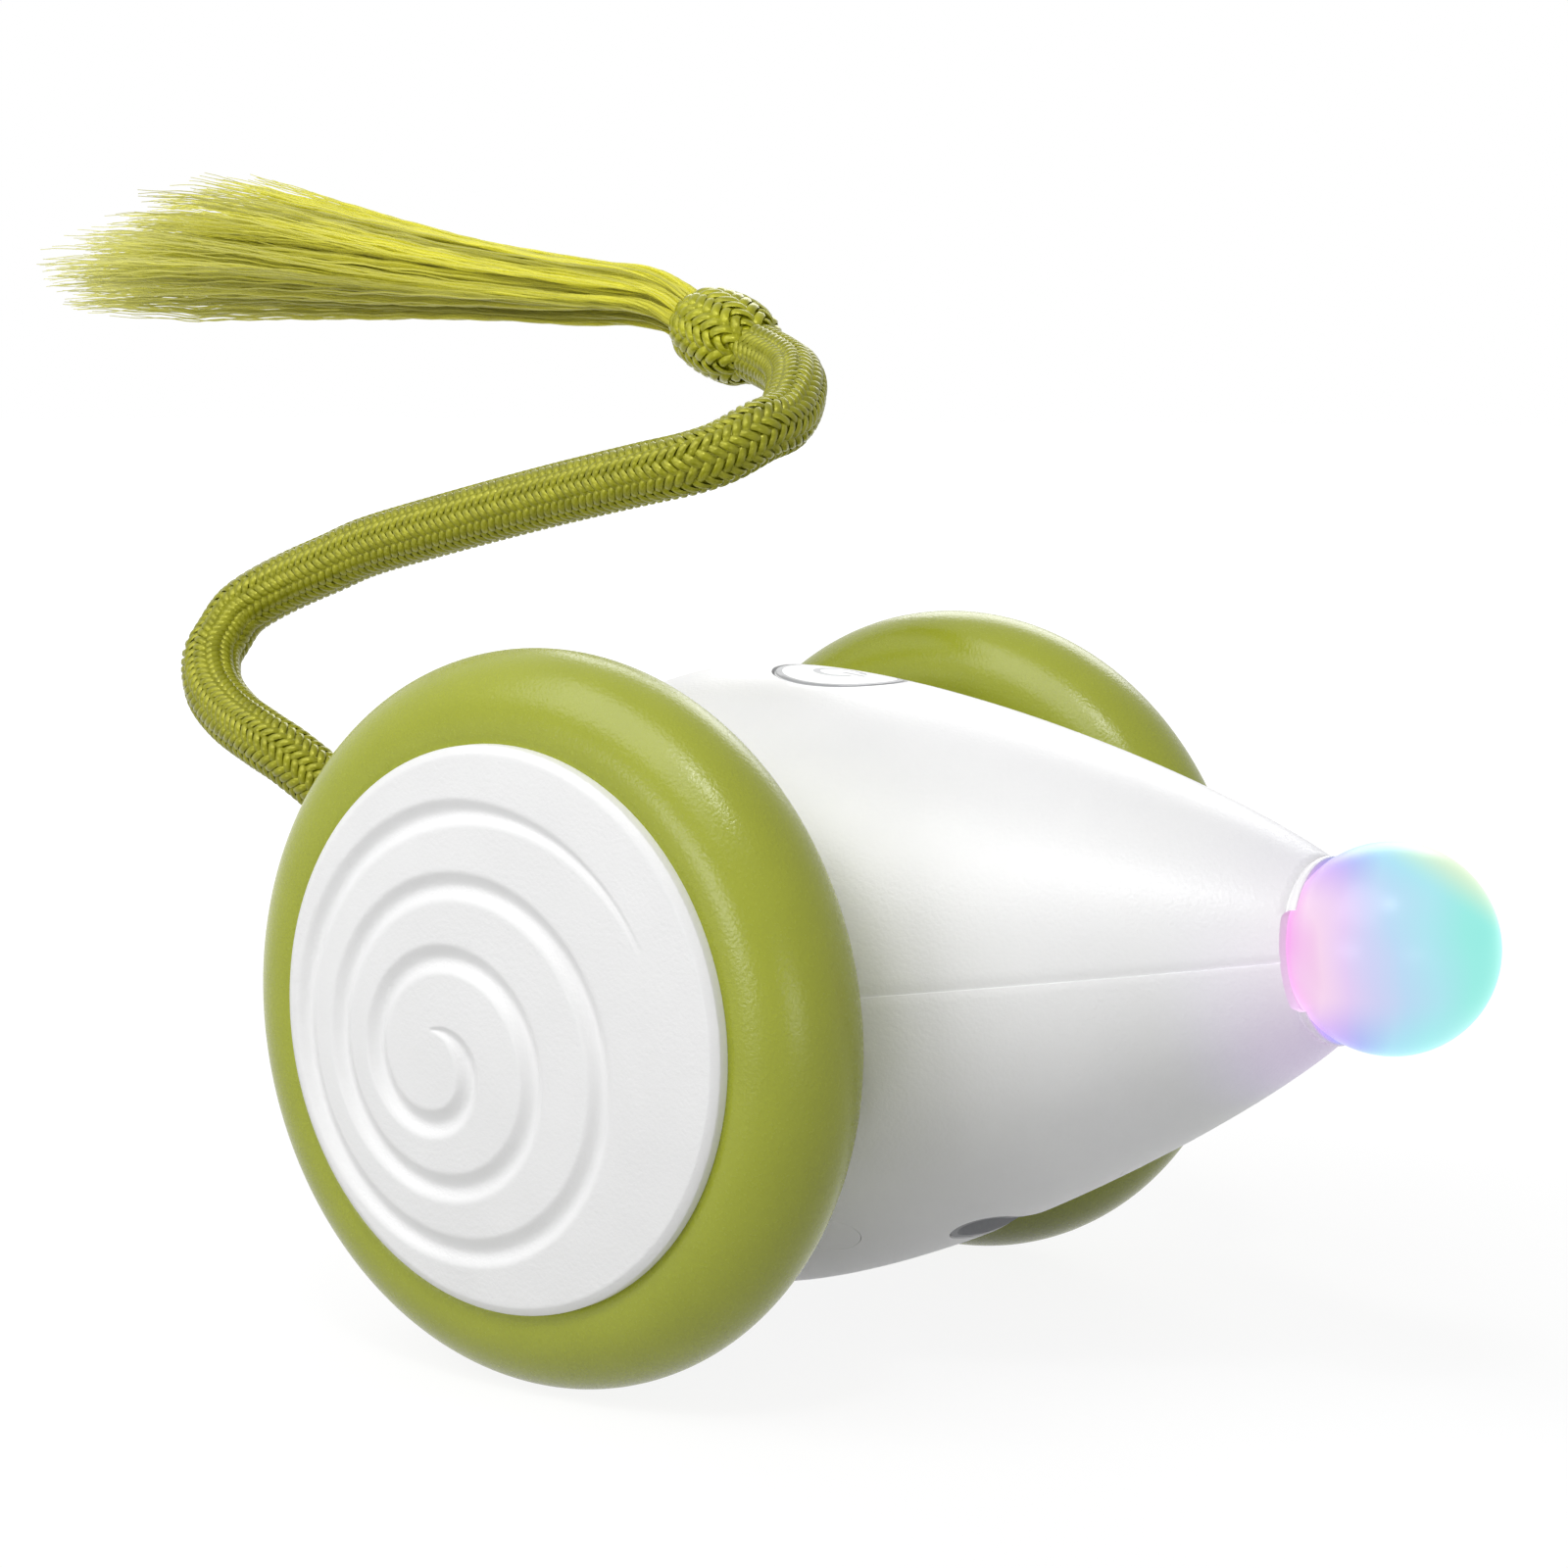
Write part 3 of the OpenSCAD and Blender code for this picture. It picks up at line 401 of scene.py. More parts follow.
tasselLine, _ = evenLine(smoothLine(fromAxle(tassel["route"]), tassel["smooth"]), tassel["step"] * mm)
_, wideWay, highWay = frames(tasselLine)
lineIndex = np.arange(len(tasselLine))
routeT = np.linspace(0, 1, len(tassel["route"]))
spread = np.linspace(0, 1, tassel["points"])
sides, fullTurn = tassel["sides"], 2 * math.pi
thick = (tassel["filamentD"] * mm / 2
         * np.clip(tassel["thick"] - tassel["thins"] * spread ** 3, *tassel["thickLimits"]))
points, faces, tints, count = [], [], [], 0
oneFilament = gridFaces(tassel["points"], sides, True)
for yarn in range(tassel["yarns"]):
    # each yarn keeps its own place in the bundle's section
    angle = rng.uniform(0, fullTurn)
    reach = math.sqrt(rng.uniform(tassel["inmost"], 1))
    yarnTurn = rng.uniform(-tassel["yarnTurn"], tassel["yarnTurn"])
    yarnZ = reach * math.sin(angle + yarnTurn)
    yarnPhase, yarnSway = rng.uniform(0, fullTurn), rng.uniform(*tassel["sway"])
    yarnTone = rng.uniform(*tassel["tone"])
    # the upper strands reach further than the lower ones
    yarnEnd = (tassel["end"] + tassel["endRise" if yarnZ > 0 else "endFall"] * yarnZ
               + rng.uniform(-tassel["yarnVary"], tassel["yarnVary"]))
    for filament in range(tassel["filaments"]):
        fx, fz = rng.normal(0, 1, 2)
        t = spread * min(1.0, yarnEnd + rng.uniform(*tassel["tipVary"]))
        where = t * (len(tasselLine) - 1)
        base, wide, high = (np.stack([np.interp(where, lineIndex, rows[:, i]) for i in range(3)], 1)
                            for rows in (tasselLine, wideWay, highWay))
        sway = yarnSway * np.sin(fullTurn * tassel["swayWaves"] * t + yarnPhase) * t
        opened = np.clip((t - tassel["frayFrom"]) / (1 - tassel["frayFrom"]), 0, 1)
        fray = tassel["fray"] + tassel["frayTip"] * opened ** tassel["frayGrows"]
        twist = fullTurn * tassel["twists"] * t + fullTurn * filament / tassel["filaments"]
        wrap = tassel["twistR"] * np.clip(1 - t / tassel["twistEnd"], 0, 1)
        crimp = (tassel["crimp"] * np.clip(tassel["crimpGrows"] * t - tassel["crimpFrom"], 0, 1)
                 * np.sin(fullTurn * tassel["crimps"] * t + 3 * fx))
        offX = (reach * np.cos(angle + yarnTurn * t) * np.interp(t, routeT, tassel["halfWide"]) * tassel["fill"]
                + sway + fx * fray + wrap * np.cos(twist) + crimp)
        offZ = (reach * np.sin(angle + yarnTurn * t) * np.interp(t, routeT, tassel["halfHigh"]) * tassel["fill"]
                + sway * tassel["swayHigh"] + fz * fray * tassel["frayHigh"] + wrap * np.sin(twist) + crimp)
        centre = base + offX[:, None] * mm * wide + offZ[:, None] * mm * high
        points.append(sweptYarn(centre, high, thick, thick, sides))
        faces += [tuple(v + count for v in f) for f in oneFilament]
        count += len(points[-1])
        tone = np.clip(yarnTone + rng.normal(0, tassel["toneVary"]), 0, 1)
        tints.append(np.repeat(np.stack([np.full(len(t), tone), t], 1), sides, 0))
tailTassel = addPiece("tailTassel", np.concatenate(points), faces, tasselMaterial, "chassis", 80)
layAcross(tailTassel, np.concatenate(tints))
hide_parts("tail_tassel")
print("tassel of", tassel["yarns"] * tassel["filaments"], "filaments")

# Injection-moulded ABS from a spark-eroded mould: white, satin, with a very fine grain
# the grit is 0.03 mm; drawn at 0.3 mm so that it shows
shellMaterial, tree, shader, place = startMaterial("mouldedAbs", IOR=1.53)
mottle(tree, shader, place, size=9, detail=3, tones=[(0, "#EDEDEE"), (1, "#F6F6F6")])
grain(tree, shader, place, size=0.3, detail=2, gloss=(0.26, 0.46), relief=(0.5, 0.06))
# painted light: emission on the shell stands in for the lamp's light on the wall round the mouth, strongest near the
# mouth and most of all below; sizes in mm
paintedMouthGlow = {"along": 50.5, "near": 6, "far": 16, "low": 22, "high": 37, "below": 0.26, "above": 0.02,
             "outer": "#B79BFF", "inner": "#D08CF5"}
away = addNode(tree, "ShaderNodeVectorMath", {0: place, 1: onAxis(paintedMouthGlow["along"])}, operation="DISTANCE")
paintedGlowNear = addNode(tree, "ShaderNodeMapRange", {
    "Value": away.outputs["Value"], "From Min": paintedMouthGlow["near"] * mm, "From Max": paintedMouthGlow["far"] * mm,
    "To Min": 1.0, "To Max": 0.0}, interpolation_type="SMOOTHERSTEP")
sink = addNode(tree, "ShaderNodeSeparateXYZ", {"Vector": place})
low = addNode(tree, "ShaderNodeMapRange", {
    "Value": sink.outputs["Z"], "From Min": paintedMouthGlow["low"] * mm, "From Max": paintedMouthGlow["high"] * mm,
    "To Min": paintedMouthGlow["below"], "To Max": paintedMouthGlow["above"]})
glow = addNode(tree, "ShaderNodeMath", {0: paintedGlowNear.outputs["Result"], 1: low.outputs["Result"]}, operation="MULTIPLY")
paintedGlowHue = addNode(tree, "ShaderNodeMix", {
    "Factor": paintedGlowNear.outputs["Result"], 6: linear(paintedMouthGlow["outer"]), 7: linear(paintedMouthGlow["inner"])},
    data_type="RGBA")
tree.links.new(paintedGlowHue.outputs[2], shader.inputs["Emission Color"])
tree.links.new(glow.outputs["Value"], shader.inputs["Emission Strength"])

# Moulded ABS of the wheel caps: white and duller than the body; grit of 0.03 mm drawn at 0.3 mm
capMaterial, tree, shader, place = startMaterial("mouldedAbsCap", IOR=1.53)
mottle(tree, shader, place, size=7, detail=3, tones=[(0, "#EBEBEB"), (1, "#F4F4F4")])
grain(tree, shader, place, size=0.3, detail=2, gloss=(0.34, 0.52), relief=(0.5, 0.06))

# Moulded silicone rubber: olive green, satin, its highlights break up into fine sparkle
# the mould's grit is 0.02 mm; drawn at 0.25 mm so that it shows
rubberMaterial, tree, shader, place = startMaterial("mouldedRubber", IOR=1.45, Specular_IOR_Level=0.6)
mottle(tree, shader, place, size=6, detail=4, tones=[(0, "#979F20"), (1, "#A3AB2A")])
grain(tree, shader, place, size=0.25, detail=2, gloss=(0.16, 0.34), relief=(0.6, 0.05))

# Milky polycarbonate ball, lit from inside by a colour lamp: hues drift round it
ballGlow = {
    "strength": 0.86, "driftScale": 0.9, "drift": 0.5, "from": -0.75, "to": 1.25,
    "across": (0.8, 0.6, 0.05), "up": (-0.07, 0.09, 0.99), "crownWay": (0.42, 0.36, 0.83),
    "hues": [(0, "#F8AEEE"), (0.1, "#FEDCF6"), (0.22, "#ECD2FB"), (0.34, "#D4D8FC"), (0.46, "#BEE2FC"),
             (0.62, "#B0EEF8"), (0.8, "#98F6EA"), (1, "#86F2E2")],
    "rimHues": [(0, "#CE78F0"), (0.16, "#B48CFA"), (0.28, "#9AB4FA"), (0.4, "#A4E8FC"), (0.6, "#9CF6F4"),
                (1, "#A6F4EE")],
    "rim": (0.4, 0.95), "crown": (0.62, 0.8), "crownHue": "#E6F3BE",  # where each starts, and its share
}
ballMaterial, tree, shader, place = startMaterial(
    "milkyPolycarbonate", Roughness=0.3, IOR=1.35, Emission_Strength=ballGlow["strength"],
    Base_Color=linear("#46404E"))
centred = addNode(tree, "ShaderNodeVectorMath", {0: place, 1: onAxis(toy["ballA"])}, operation="SUBTRACT")
unit = addNode(tree, "ShaderNodeVectorMath", {
    0: centred.outputs["Vector"], 3: 1 / (toy["ballR"] * mm)}, operation="SCALE").outputs["Vector"]
drift = addNode(tree, "ShaderNodeTexNoise", {"Vector": unit, "Scale": ballGlow["driftScale"], "Detail": 1})
across = addNode(tree, "ShaderNodeVectorMath", {0: unit, 1: ballGlow["across"]}, operation="DOT_PRODUCT")
sway = addNode(tree, "ShaderNodeMath", {
    0: drift.outputs["Fac"], 1: ballGlow["drift"], 2: across.outputs["Value"]}, operation="MULTIPLY_ADD")
level = addNode(tree, "ShaderNodeMapRange", {
    "Value": sway.outputs["Value"], "From Min": ballGlow["from"], "From Max": ballGlow["to"]})
hues = addNode(tree, "ShaderNodeValToRGB", {"Fac": level.outputs["Result"]})
setTones(hues.color_ramp, ballGlow["hues"])
# the hues are stronger towards the top and the bottom
height = addNode(tree, "ShaderNodeVectorMath", {0: unit, 1: ballGlow["up"]}, operation="DOT_PRODUCT")
off = addNode(tree, "ShaderNodeMath", {0: height.outputs["Value"]}, operation="ABSOLUTE")
edge = addNode(tree, "ShaderNodeMapRange", {
    "Value": off.outputs["Value"], "From Min": ballGlow["rim"][0], "To Max": ballGlow["rim"][1]},
    interpolation_type="SMOOTHSTEP")
rimHues = addNode(tree, "ShaderNodeValToRGB", {"Fac": level.outputs["Result"]})
setTones(rimHues.color_ramp, ballGlow["rimHues"])
both = addNode(tree, "ShaderNodeMix", {
    "Factor": edge.outputs["Result"], 6: hues.outputs["Color"], 7: rimHues.outputs["Color"]}, data_type="RGBA")
# a warm crown
top = addNode(tree, "ShaderNodeVectorMath", {0: unit, 1: ballGlow["crownWay"]}, operation="DOT_PRODUCT")
crown = addNode(tree, "ShaderNodeMapRange", {
    "Value": top.outputs["Value"], "From Min": ballGlow["crown"][0], "To Max": ballGlow["crown"][1]},
    interpolation_type="SMOOTHSTEP")
warm = addNode(tree, "ShaderNodeMix", {
    "Factor": crown.outputs["Result"], 6: both.outputs[2], 7: linear(ballGlow["crownHue"])}, data_type="RGBA")
tree.links.new(warm.outputs[2], shader.inputs["Emission Color"])

# Moulded polypropylene: plain grey, dull, barely mottled
greyMaterial, tree, shader, place = startMaterial("mouldedPolypropylene", Roughness=0.55, IOR=1.49)
mottle(tree, shader, place, size=0.4, detail=3, tones=[(0, "#8B8C90"), (1, "#9A9B9E")])

# Plated steel: bright, its gloss a little uneven
steelMaterial, tree, shader, place = startMaterial("platedSteel", Metallic=1.0, Base_Color=linear("#C9CACC"))
grain(tree, shader, place, size=0.3, detail=3, gloss=(0.22, 0.4))

# Turned brass: warm yellow, with small differences of gloss from the tool
brassMaterial, tree, shader, place = startMaterial("turnedBrass", Metallic=1.0, Base_Color=linear("#D0B070"))
grain(tree, shader, place, size=0.25, detail=3, gloss=(0.25, 0.42))

# Solder mask over copper: glossy green, lighter where copper lies under it
boardMaterial, tree, shader, place = startMaterial("solderMask", Roughness=0.3, IOR=1.55)
mottle(tree, shader, place, size=1.5, detail=2, tones=[(0, "#155A38"), (1, "#2A7A50")])

# Moulded nylon: ivory, half dull
nylonMaterial, tree, shader, place = startMaterial("mouldedNylon", Roughness=0.45, IOR=1.53)
mottle(tree, shader, place, size=1.2, detail=2, tones=[(0, "#E6E0CC"), (1, "#F2EEDF")])

# Moulded black nylon: nearly black, half dull
blackMaterial, tree, shader, place = startMaterial("mouldedBlackNylon", Roughness=0.5, IOR=1.53)
mottle(tree, shader, place, size=0.5, detail=2, tones=[(0, "#242527"), (1, "#333437")])

# Foil of the cell's pouch: dull silver with soft creases
foilMaterial, tree, shader, place = startMaterial("pouchFoil", Metallic=0.8, Base_Color=linear("#B9BEC6"))
grain(tree, shader, place, size=2, detail=4, gloss=(0.3, 0.55))

slotMaterials = {
    "shell_white": shellMaterial, "button_white": shellMaterial, "wheel_white": capMaterial,
    "tyre_green": rubberMaterial, "frame_grey": greyMaterial, "cup_grey": greyMaterial,
    "switch_black": blackMaterial, "board_green": boardMaterial, "led_white": nylonMaterial,
    "ball_milky": ballMaterial, "steel": steelMaterial, "brass": brassMaterial, "gear_nylon": nylonMaterial,
    "cell_foil": foilMaterial, "core_wire": steelMaterial, "braid_green": braidMaterial,
    "knot_green": knotMaterialWithPaintedGlints, "tassel_green": tasselMaterial,
}
for part in frame["record"]["subparts"]:
    cadNode = nodes[part["node"]]
    cadNode.data.materials.clear()
    cadNode.data.materials.append(slotMaterials[part["material_slot"]])
print("materials set")

bodyPlace = (Matrix.Translation(Vector((toy["axleX"], 0, toy["wheelR"])) * mm)
             @ Matrix.Rotation(math.radians(-toy["pitch"]), 4, "Y"))

beyond = 60  # mm, past every side of the body
poleGap = 0.02  # radians, where a turned curve stops short of its pole


def bodyCurve(inset, rearSteps=36, noseSteps=60):
    # profile as (along, radius) in mm: round rear, then one curve to the mouth
    end = math.radians(toy["snoutAngle"])
    p0 = np.array((0, toy["bodyR"]))
    p1 = np.array((toy["shoulderPull"], toy["bodyR"]))
    p3 = np.array((toy["mouthA"], toy["mouthR"]))
    p2 = p3 + toy["snoutPull"] * np.array((-math.cos(end), math.sin(end)))
    rows = []
    for i in range(rearSteps):
        turn = math.pi - poleGap - (math.pi / 2 - poleGap) * i / rearSteps
        rows.append((toy["bodyR"] - inset) * np.array((math.cos(turn), math.sin(turn))))
    for i in range(noseSteps + 1):
        t = i / noseSteps
        point = (1 - t) ** 3 * p0 + 3 * (1 - t) ** 2 * t * p1 + 3 * (1 - t) * t * t * p2 + t ** 3 * p3
        slope = 3 * (1 - t) ** 2 * (p1 - p0) + 6 * (1 - t) * t * (p2 - p1) + 3 * t * t * (p3 - p2)
        slope /= np.linalg.norm(slope)
        rows.append(point + inset * np.array((slope[1], -slope[0])))
    return np.array(rows)


def halfSolid(name, curve, half, seamEdge, steps=72):
    # a closed half of the turned body, flat on the seam plane, drawn in there by seamEdge (depth, height)
    points = []
    edge, high = seamEdge
    for a, r in curve:
        first = min(high / r, 0.5)  # the small rear end keeps its round
        for k in range(steps + 1):
            turn = first + (math.pi - 2 * first) * (k - 1) / (steps - 2)
            if k in (0, steps):
                points.append((a, (r - min(edge, r / 3)) * (1 if k == 0 else -1), 0))
            else:
                points.append((a, r * math.cos(turn), half * r * math.sin(turn)))
    faces = gridFaces(len(curve), steps + 1, False)
    seam = [i * (steps + 1) for i in range(len(curve))]
    back = [i * (steps + 1) + steps for i in range(len(curve))]
    faces.append(tuple(seam + back[::-1]))
    for end in (0, len(curve) - 1):
        faces.append(tuple(end * (steps + 1) + k for k in range(steps + 1)))
    return toolMesh(name, points, faces)


def wholeSolid(name, curve, steps=80):
    # the turned body all round, closed at both ends
    points = []
    for a, r in curve:
        for k in range(steps):
            turn = 2 * math.pi * k / steps
            points.append((a, r * math.cos(turn), r * math.sin(turn)))
    faces = gridFaces(len(curve), steps, True)
    for end in (0, len(curve) - 1):
        faces.append(tuple(end * steps + k for k in range(steps)))
    return toolMesh(name, points, faces)


def toolMesh(name, points, faces):
    # a closed mesh in the body's own frame, in mm, set in place
    mesh = bpy.data.meshes.new(name)
    mesh.from_pydata([tuple(p) for p in points], [], faces)
    tidyMesh(mesh, distance=1e-4)
    mesh.transform(bodyPlace @ Matrix.Scale(mm, 4))
    tool = bpy.data.objects.new(name, mesh)
    scene.collection.objects.link(tool)
    return tool


def box(low, high):
    # a block between two corners
    x, y, z = zip(low, high)
    points = [(x[i], y[j], z[k]) for i in (0, 1) for j in (0, 1) for k in (0, 1)]
    faces = [(0, 1, 3, 2), (4, 6, 7, 5), (0, 4, 5, 1), (2, 3, 7, 6), (0, 2, 6, 4), (1, 5, 7, 3)]
    return toolMesh("box", points, faces)


def prismFaces(n):
    # sides and both ends of a bar whose outline has n points
    return gridFaces(2, n, True) + [tuple(range(n)), tuple(range(n, 2 * n))]


def rod(start, end, outline):
    # a straight bar with this outline, square to the line from start to end
    start, end = Vector(start), Vector(end)
    turn = (end - start).to_track_quat("Z", "Y")
    points = [tuple(base + turn @ Vector((x, y, 0))) for base in (start, end) for x, y in outline]
    return toolMesh("rod", points, prismFaces(len(outline)))


def circle(radius, steps=64):
    turns = [2 * math.pi * k / steps for k in range(steps)]
    return [(radius * math.cos(turn), radius * math.sin(turn)) for turn in turns]


def applyModifier(piece, modifier):
    with bpy.context.temp_override(object=piece, active_object=piece, selected_objects=[piece]):
        bpy.ops.object.modifier_apply(modifier=modifier.name)


def combine(piece, tools, operation):
    # all tools in one step, which keeps the cut edges clean
    group = bpy.data.collections.new("tools")
    for tool in tools:
        group.objects.link(tool)
    modifier = piece.modifiers.new("cut", "BOOLEAN")
    modifier.operand_type = "COLLECTION"
    modifier.collection = group
    modifier.operation = operation
    modifier.solver = "EXACT"
    applyModifier(piece, modifier)
    for tool in tools:
        bpy.data.objects.remove(tool)
    bpy.data.collections.remove(group)


def bodyRadius(a):
    # radius of the body at this place along its axis
    curve = bodyCurve(0)
    return float(np.interp(a, curve[:, 0], curve[:, 1]))


# the two shells; lipEdge is the rim of the mouth as (past the mouth, past the collar)
shell = {
    "lip": 1.4, "neckHole": 5.05, "collarR": 6.5, "seatR": 7.66, "seatGap": 0.03,
    "lipEdge": [(0.06, -0.06), (0.16, -0.08), (0.4, 0.08), (0.66, 0.16), (0.8, 0.14), (0.88, 0.06)],
    "notchHigh": 7.0, "notchDeep": 0.1, "notchCorner": 0.5, "notchWide": 15,
    "upperSeam": (0.14, 0.5), "lowerSeam": (0.02, 0.05), "edge": 0.14, "edgeAngle": 40,
    "bushHole": 3.25, "bushReach": 40, "ferruleHole": 3.55, "ferruleFrom": -18, "below": -30,
    "screwPlaces": [(13, 12, -9), (13, -12, -9), (33, 0, -6)], "screwHole": 1.95,
}
button = {"along": 10.0, "radius": 5.0, "gap": 0.25, "edge": 0.12, "deep": 3.2, "cut": 5}
port = {"along": 20.9, "wide": 13.4, "long": 5.2, "top": -13.5}
slopeStep = (bodyRadius(button["along"] - 1) - bodyRadius(button["along"] + 1)) / 2
buttonTilt = math.atan(slopeStep)
buttonTop = Vector((button["along"], 0, bodyRadius(button["along"])))
buttonWay = Vector((math.sin(buttonTilt), 0, math.cos(buttonTilt)))


def racetrack(wide, long, steps=24):
    # rounded slot outline, wide across y
    outline = []
    for end, start in ((1, 0), (-1, math.pi)):
        for k in range(steps + 1):
            turn = start + math.pi * k / steps
            outline.append((long / 2 * math.cos(turn), end * (wide - long) / 2 + long / 2 * math.sin(turn)))
    return outline


# notch at each side of the mouth, with round inner corners
halfNotch, corner, cornerSteps = shell["notchHigh"] / 2, shell["notchCorner"], 6
notchOutline = [(beyond, -halfNotch), (beyond, halfNotch)]
for side in (1, -1):
    for k in range(cornerSteps + 1):
        turn = math.pi / 2 * (k / cornerSteps if side > 0 else 1 - k / cornerSteps)
        notchOutline.append((toy["mouthA"] - shell["notchDeep"] + corner * (1 - math.sin(turn)),
                             side * (halfNotch - corner * (1 - math.cos(turn)))))
notchPoints = [(x, y, z) for y in (-shell["notchWide"], shell["notchWide"]) for x, z in notchOutline]


def makeShell(name, half, nodeName):
    mouthA = toy["mouthA"]
    lipEdge = [(mouthA + a, shell["collarR"] + r) for a, r in shell["lipEdge"]]
    outside = halfSolid(name, list(bodyCurve(0)) + lipEdge, half, shell["upperSeam" if half > 0 else "lowerSeam"])
    flank = toy["flankY"]
    combine(outside, [box((-beyond, -flank, -beyond), (beyond, flank, beyond))], "INTERSECT")
    lipA = mouthA - shell["lip"]
    innerCurve = [p for p in bodyCurve(toy["wall"], 20, 30) if p[0] < lipA]
    inside = wholeSolid("inside", innerCurve + [np.array((lipA, innerCurve[-1][1]))])
    inner = flank - toy["wall"]
    combine(inside, [box((-beyond, -inner, -beyond), (beyond, inner, beyond))], "INTERSECT")
    seatLine = np.linspace(math.pi - shell["seatGap"], shell["seatGap"], 60)
    seat = [shell["seatR"] * np.array((math.cos(t), math.sin(t))) + (toy["ballA"], 0) for t in seatLine]
    # room, ball's seat, notch, then the holes for tail socket, neck and axles
    below, reach = shell["below"], shell["bushReach"]
    cuts = [inside, wholeSolid("seat", seat, 128), toolMesh("notch", notchPoints, prismFaces(len(notchOutline))),
            rod((shell["ferruleFrom"], 0, 0), (below, 0, 0), circle(shell["ferruleHole"], 48)),
            rod((lipA - 1, 0, 0), (beyond, 0, 0), circle(shell["neckHole"])),
            rod((0, -reach, 0), (0, reach, 0), circle(shell["bushHole"], 48))]
    if half > 0:
        into = buttonWay * button["cut"]
        cuts.append(rod(buttonTop - into, buttonTop + into, circle(button["radius"] + button["gap"], 96)))
    else:
        outline = racetrack(port["wide"], port["long"])
        slot = [(x + port["along"], y, z) for z in (below, port["top"]) for x, y in outline]
        cuts.append(toolMesh("slot", slot, prismFaces(len(outline))))
        cuts += [rod((a, y, below), (a, y, z), circle(shell["screwHole"], 32)) for a, y, z in shell["screwPlaces"]]
    combine(outside, cuts, "DIFFERENCE")
    bevel = outside.modifiers.new("edge", "BEVEL")
    bevel.width = shell["edge"] * mm
    bevel.segments = 2
    bevel.limit_method = "ANGLE"
    bevel.angle_limit = math.radians(shell["edgeAngle"])
    applyModifier(outside, bevel)
    finishPiece(outside, shellMaterial, "chassis", 40)
    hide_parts(nodeName)


makeShell("upperShell", 1, "upper_shell")
makeShell("lowerShell", -1, "lower_shell")
print("shells cut")


def lathe(name, profile, place, steps, material, body, sharp=35):
    # profile of (radius, height) in mm, turned round the local z axis
    points, faces, rows = [], [], []
    pole = 1e-6  # below this radius a row is one point
    for r, w in profile:
        rows.append(len(points))
        points += [(0, 0, w)] if r < pole else [(x, y, w) for x, y in circle(r, steps)]
    for i in range(len(profile) - 1):
        single, following = profile[i][0] < pole, profile[i + 1][0] < pole
        for k in range(steps):
            n = (k + 1) % steps
            if single and not following:
                faces.append((rows[i], rows[i + 1] + k, rows[i + 1] + n))
            elif following and not single:
                faces.append((rows[i] + n, rows[i] + k, rows[i + 1]))
            elif not single:
                faces.append((rows[i] + k, rows[i] + n, rows[i + 1] + n, rows[i + 1] + k))
    put = place @ Matrix.Scale(mm, 4)
    turned = addPiece(name, [put @ Vector(p) for p in points], faces, material, body, sharp)
    tidyMesh(turned.data, distance=1e-7)
    return turned


axisTurn = Matrix.Rotation(math.radians(90), 4, "Y")

# lit ball on its neck, with a flange inside the body and a bore for the lamp
ball = {"steps": 64, "neckEnd": 48.2, "flange": 0.6, "flangeTop": 48.1, "flangeEnd": 46.1, "boreR": 3.4,
        "boreEnd": 53.4}
ballProfile = [(0, toy["ballA"] + toy["ballR"])]
neckTurn = math.asin(toy["neckR"] / toy["ballR"])
for k in range(1, ball["steps"] + 1):
    turn = (math.pi - neckTurn) * k / ball["steps"]
    ballProfile.append((toy["ballR"] * math.sin(turn), toy["ballA"] + toy["ballR"] * math.cos(turn)))
flangeR = toy["neckR"] + ball["flange"]
ballProfile += [(toy["neckR"], ball["neckEnd"]), (flangeR, ball["flangeTop"]), (flangeR, ball["flangeEnd"]),
                (ball["boreR"], ball["flangeEnd"]), (ball["boreR"], ball["boreEnd"]), (0, ball["boreEnd"])]
noseBall = lathe("noseBall", ballProfile, bodyPlace @ axisTurn, 96, ballMaterial, "chassis", 40)
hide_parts("nose_ball")

# tail socket with a rounded lip; the lip as (past the bore or the outside, past the nose)
ferrule = {"bore": 2.65, "outer": 3.5, "flange": 5.1, "nose": -26.2, "flangeA": -21.92, "flangeLong": 1.2,
           "boreLip": [(0, 0.2), (0.2, 0), (0.45, 0.05)], "outerLip": [(-0.15, 0.8), (0, 1.3)]}
bore, outer, nose, flangeA = (ferrule[key] for key in ("bore", "outer", "nose", "flangeA"))
ferruleProfile = [(bore + r, nose + a) for r, a in ferrule["boreLip"]]
ferruleProfile += [(outer + r, nose + a) for r, a in ferrule["outerLip"]]
flangeEnd = flangeA + ferrule["flangeLong"]
ferruleProfile += [(outer, flangeA), (ferrule["flange"], flangeA), (ferrule["flange"], flangeEnd),
                   (bore, flangeEnd), ferruleProfile[0]]
tailFerrule = lathe("tailFerrule", ferruleProfile, bodyPlace @ axisTurn, 64, shellMaterial,
                    "chassis", 50)
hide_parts("tail_ferrule")
print("nose and tail socket turned")

# Printed ABS of the mode button: satin white, a grey ring and on-off mark; grit of 0.03 mm drawn at 0.22 mm
mark = {"ringR": 4.7, "ringHalf": 0.26, "arcR": 1.8, "lineHalf": 0.28, "stemMiddle": 1.35, "stemHalf": 1.05,
        "gapHalf": 0.75, "plain": "#F2F2F2", "ink": "#A2A3A6"}
buttonMaterial, tree, shader, place = startMaterial("printedAbs", Roughness=0.4, IOR=1.53)
flat = addNode(tree, "ShaderNodeUVMap")
radius = addNode(tree, "ShaderNodeVectorMath", {0: flat.outputs["UV"]}, operation="LENGTH").outputs["Value"]
axes = addNode(tree, "ShaderNodeSeparateXYZ", {"Vector": flat.outputs["UV"]})
